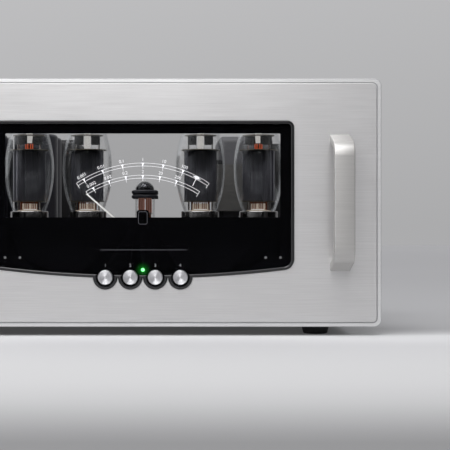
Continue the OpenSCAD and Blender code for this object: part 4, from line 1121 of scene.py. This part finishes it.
def core_stack():
    """Core built of sheets that lie a little out of line, held by four bolts."""
    tree, sockets, given = blank_tree("core stack", {
        "Count": "Int", "Pitch": "Float", "Sheet size": "Vector", "Slip": "Float", "Seed": "Int",
        "Steel": "Material",
    })
    sheet = add(tree, "GeometryNodeMeshCube", {"Size": given["Sheet size"]})
    rise = add(tree, "ShaderNodeCombineXYZ", {"Z": given["Pitch"]})
    row = add(tree, "GeometryNodeMeshLine", {"Count": given["Count"], "Offset": rise.outputs[0]})
    minus = add(tree, "ShaderNodeMath", {0: given["Slip"], 1: -1.0}, operation="MULTIPLY")
    least = add(tree, "ShaderNodeCombineXYZ", {"X": minus.outputs[0], "Y": minus.outputs[0]})
    most = add(tree, "ShaderNodeCombineXYZ", {"X": given["Slip"], "Y": given["Slip"]})
    slip = add(tree, "FunctionNodeRandomValue", {
        "Min": least.outputs[0], "Max": most.outputs[0], "Seed": given["Seed"],
    }, data_type="FLOAT_VECTOR")
    moved = add(tree, "GeometryNodeSetPosition", {"Geometry": row.outputs["Mesh"], "Offset": slip.outputs[0]})
    copies = add(tree, "GeometryNodeInstanceOnPoints", {
        "Points": moved.outputs[0], "Instance": sheet.outputs["Mesh"],
    })
    close_copies(tree, copies, given["Steel"])
    low, high = span("mains_core")
    stack_low = low.z + CORE_FOOT
    stack_high = high.z - CORE_BOLT_TOP
    mesh = grown(tree, sockets, {
        "Count": round((stack_high - stack_low) / CORE_PITCH), "Pitch": CORE_PITCH,
        "Seed": 4, "Slip": 0.12, "Steel": core_steel,
        "Sheet size": (high.x - low.x - 0.4, high.y - low.y - 0.4, CORE_PITCH - 0.15),
    })
    centre = middle("mains_core")
    mesh.transform(Matrix.Translation((centre.x, centre.y, stack_low + CORE_PITCH / 2)))
    bm = bmesh.new()
    bm.from_mesh(mesh)
    for face in bm.faces:
        face.material_index = 0
    block(bm, (low.x + 1, low.y + 1, stack_low), (high.x - 1, high.y - 1, stack_high))
    bolt_head = [(r, stack_high + h) for r, h in ((0, 0.9), (4.5, 0.9), (4.5, 4.2), (3.9, 5), (0, 5))]
    for x in (low.x + CORE_BOLT_IN, high.x - CORE_BOLT_IN):
        for y in (low.y + CORE_BOLT_IN, high.y - CORE_BOLT_IN):
            rod(bm, x, y, 3.5, low.z, stack_low + 1, 1, 24)
            rod(bm, x, y, 5.2, stack_high, stack_high + 0.9, 1, 32)
            lathe(bm, bolt_head, x, y, 6, 1)
    piece("core_stack", bm, [core_steel, black_oxide], ["mains_core"])


SCREEN_SHEET = 1.2
SCREEN_BEND = 3.0
SCREEN_RISE = 103.0


def folded(corners, bend):
    """Path through corners of x and y with its inner corners rounded."""
    points = [corners[0]]
    for before, here, after in zip(corners, corners[1:], corners[2:]):
        here = Vector(here)
        start = here + (Vector(before) - here).normalized() * bend
        end = here + (Vector(after) - here).normalized() * bend
        for i in range(6):
            t = i / 5
            points.append(tuple(start.lerp(here, t).lerp(here.lerp(end, t), t)))
    return points + [corners[-1]]


def core_screen():
    """Steel screen folded round the outer side of the mains core, with a foot screwed to the deck."""
    low, high = span("mains_core")
    near, far = low.y - 3, high.y + 3
    inner, outer = high.x - 8, high.x + 8
    sheet = SCREEN_SHEET
    walls = []
    for inset, bend in ((0, SCREEN_BEND), (sheet, SCREEN_BEND - sheet)):
        front, side, back = near + inset, outer - inset, far - inset
        walls.append(folded([(inner, front), (side, front), (side, back), (inner, back)], bend))
    bm = bmesh.new()
    prism(bm, walls[0] + walls[1][::-1], low.z, low.z + SCREEN_RISE)
    foot_z = low.z + sheet
    block(bm, (outer - sheet / 2, near + 12, low.z), (outer + 10, far - 12, foot_z))
    screw = [(r, foot_z + h) for r, h in ((0, 0), (3.2, 0), (3.2, 1.2), (2.2, 2.2), (0, 2.4))]
    for y in (near + 24, far - 24):
        lathe(bm, screw, outer + 5.5, y, 24, 1)
    piece("core_screen", bm, [powder_coat, black_oxide], soften_mm=0.2)


core_stack()
core_screen()


# Screws

HEAD_R = 3.25
# Depth of the last screw along a side, and height of the rear panel's upper screws
SIDE_LAST = 368.0
REAR_UPPER = 77.0


def screw_head():
    """Button head with a hexagon socket, standing on its seat, in millimetres."""
    bm = bmesh.new()
    key = 1.15

    def hexagon(angle):
        return key / math.cos((angle + math.pi / 6) % (math.pi / 3) - math.pi / 6)

    turns = full_turn(24)
    rings = []
    for r, z in ((HEAD_R, 0.0), (HEAD_R, 0.4), (2.8, 1.1), (2.1, 1.6)):
        rings.append([bm.verts.new((r * math.cos(a), r * math.sin(a), z)) for a in turns])
    for z in (1.75, 0.7):
        rings.append([bm.verts.new((hexagon(a) * math.cos(a), hexagon(a) * math.sin(a), z)) for a in turns])
    skin(bm, rings)
    return mesh_of("screw head", bm)


def screw_tree():
    """Tree that sets one screw head on each point, turned to face one way."""
    tree, sockets, given = blank_tree("screw row", {
        "Places": "Geometry", "Screw": "Object", "Facing": "Vector", "Steel": "Material",
    })
    head = add(tree, "GeometryNodeObjectInfo", {"Object": given["Screw"]})
    copies = add(tree, "GeometryNodeInstanceOnPoints", {
        "Points": given["Places"], "Instance": head.outputs["Geometry"], "Rotation": given["Facing"],
    })
    close_copies(tree, copies, given["Steel"])
    return tree, sockets


def screws():
    """Screws along both sides and at the corners of the rear panel."""
    tree, sockets = screw_tree()
    pattern = placed("screw pattern", screw_head())
    low, high = span("side_screws")
    side_x = span("chassis_side_right")[1].x
    rear_y = span("rear_panel")[1].y
    corner_x = side_x - 7
    upper_z = high.z - HEAD_R
    side_ys = [low.y + HEAD_R + (SIDE_LAST - low.y - HEAD_R) * i / 3 for i in range(4)]
    corners = [(s * corner_x, rear_y, z) for s in (-1, 1) for z in (low.z + HEAD_R, REAR_UPPER)]
    rows = (
        ([(-side_x, y, upper_z) for y in side_ys], (0, -90, 0)),
        ([(side_x, y, upper_z) for y in side_ys], (0, 90, 0)),
        (corners, (-90, 0, 0)),
    )
    bm = bmesh.new()
    for places, facing in rows:
        mesh = grown(tree, sockets, {
            "Screw": pattern, "Facing": [math.radians(a) for a in facing], "Steel": black_oxide,
        }, places)
        bm.from_mesh(mesh)
    piece("screw_heads", bm, [black_oxide], ["side_screws"])
    bpy.data.objects.remove(pattern)


screws()


# Studio

# Along the floor from the panel's front towards the camera, in metres, with its grey there. The greys paint
# light and shade: palest at the panel's foot, a painted light against the amplifier's contact shadow; greyer
# behind the amplifier and paler with distance there, painted to even out the light; darker towards the near
# edge of the view, painted falloff; pale paper beyond the view.
FLOOR_PAINTED_LIGHT = (
    (5.0, "#bababc"), (2.0, "#b0b0b2"), (0.42, "#a0a0a2"), (0.09, "#9c9c9e"),
    (0.05, "#acacae"), (0.0, "#cecfd0"), (-0.04, "#c6c6c8"), (-0.11, "#b6b6b8"),
    (-0.30, "#b3b3b4"), (-0.42, "#aeaeaf"), (-0.52, "#a2a2a3"), (-0.60, "#8c8c8d"),
    (-0.68, "#6e6e6f"), (-0.74, "#6e6e6f"), (-1.0, "#f2f2f4"), (-3.0, "#f2f2f4"),
)
# Light that the floor adds where it is looked at or mirrored, so that the deepest shadow stays grey
FLOOR_FILL = 0.055
FLOOR_REACH = 6.0
# Room light along each axis: from and to on the axis, and the light at each
ROOM_LIGHT = (
    ("Y", -1.0, 0.9, 0.07, 0.43),
    ("Z", 0.0, 1.0, 0.0, 0.5),
    ("X", -1.0, 1.0, 0.08, -0.08),
    ("X", -1.0, -0.3, 0.7, 0.0),
)


def floor_paper():
    """Matt paper, its grey along its length painted light and shade: pale in front of the amplifier and
    greyer behind it and at the near edge.
    """
    material, tree = blank_material("matt background paper")
    place = add(tree, "ShaderNodeTexCoord")
    axes = add(tree, "ShaderNodeSeparateXYZ", {0: place.outputs["Object"]})
    near, far = FLOOR_PAINTED_LIGHT[-1][0] + FRONT, FLOOR_PAINTED_LIGHT[0][0] + FRONT
    along = add(tree, "ShaderNodeMapRange", {"Value": axes.outputs["Y"], "From Min": near, "From Max": far})
    ramp = add(tree, "ShaderNodeValToRGB", {"Fac": along.outputs[0]})
    stops = ramp.color_ramp.elements
    # Stops of the ramp: the floor's painted light and shade, as listed above
    for distance, tone in FLOOR_PAINTED_LIGHT[1:-1]:
        stops.new((distance + FRONT - near) / (far - near)).color = linear(tone)
    stops[0].color = linear(FLOOR_PAINTED_LIGHT[-1][1])
    stops[-1].color = linear(FLOOR_PAINTED_LIGHT[0][1])
    ray = add(tree, "ShaderNodeLightPath").outputs
    seen = ray["Is Camera Ray"]
    for kind in ("Is Glossy Ray", "Is Transmission Ray"):
        seen = add(tree, "ShaderNodeMath", {0: seen, 1: ray[kind]}, operation="MAXIMUM").outputs[0]
    fill = add(tree, "ShaderNodeMath", {0: seen, 1: FLOOR_FILL}, operation="MULTIPLY")
    shader = add(tree, "ShaderNodeBsdfPrincipled", {
        "Base Color": ramp.outputs["Color"], "Roughness": 0.9, "Specular IOR Level": 0.2,
        "Emission Color": linear("#fdfdff"), "Emission Strength": fill.outputs[0],
    })
    close_tree(tree, shader)
    return material


def studio_floor():
    """Wide floor under the amplifier."""
    mesh = bpy.data.meshes.new("studio_floor")
    corners = [(x * FLOOR_REACH, y * FLOOR_REACH, 0) for x, y in ((-1, -1), (1, -1), (1, 1), (-1, 1))]
    mesh.from_pydata(corners, [], [(0, 1, 2, 3)])
    mesh.materials.append(floor_paper())
    placed("studio_floor", mesh)


def studio_world():
    """Grey room with a white wall at its left, lighter overhead and behind the amplifier."""
    world = bpy.data.worlds.new("studio")
    world.use_nodes = True
    tree = world.node_tree
    tree.nodes.clear()
    place = add(tree, "ShaderNodeTexCoord")
    axes = add(tree, "ShaderNodeSeparateXYZ", {0: place.outputs["Generated"]})
    level = 0.0
    for axis, start, end, first, last in ROOM_LIGHT:
        share = add(tree, "ShaderNodeMapRange", {
            "Value": axes.outputs[axis], "From Min": start, "From Max": end, "To Min": first, "To Max": last,
        })
        level = add(tree, "ShaderNodeMath", {0: level, 1: share.outputs[0]}, operation="ADD").outputs[0]
    light = add(tree, "ShaderNodeBackground", {"Color": linear("#fdfdff"), "Strength": level})
    add(tree, "ShaderNodeOutputWorld", {"Surface": light.outputs[0]})
    bpy.context.scene.world = world


def softbox(name, spot, aim, size, watts):
    """Large rectangular lamp aimed at a point."""
    lamp = bpy.data.lights.new(name, "AREA")
    lamp.shape = "RECTANGLE"
    lamp.size, lamp.size_y = size
    lamp.energy = watts
    made = placed(name, lamp)
    made.location = spot
    made.rotation_euler = (Vector(aim) - Vector(spot)).to_track_quat("-Z", "Y").to_euler()


def camera():
    """Level view along the depth, standing a little right of the middle, with the frame shifted sideways."""
    distance = 1.40
    lens = bpy.data.cameras.new("camera")
    lens.sensor_width = 36.0
    lens.lens = 110.84
    lens.shift_x = 0.1333
    made = placed("camera", lens)
    made.location = (0.0225, FRONT - distance, 0.112)
    made.rotation_euler = (math.pi / 2, 0, 0)
    bpy.context.scene.camera = made


studio_floor()
studio_world()
softbox("overhead softbox", spot=(-0.2, -0.65, 1.5), aim=(0, -0.2, 0.1), size=(1.5, 0.9), watts=15)
softbox("front softbox", spot=(-0.28, -1.45, 0.9), aim=(-0.05, -0.2, 0.2), size=(1.2, 0.5), watts=7.6)
camera()
bpy.context.scene.view_settings.view_transform = "Standard"
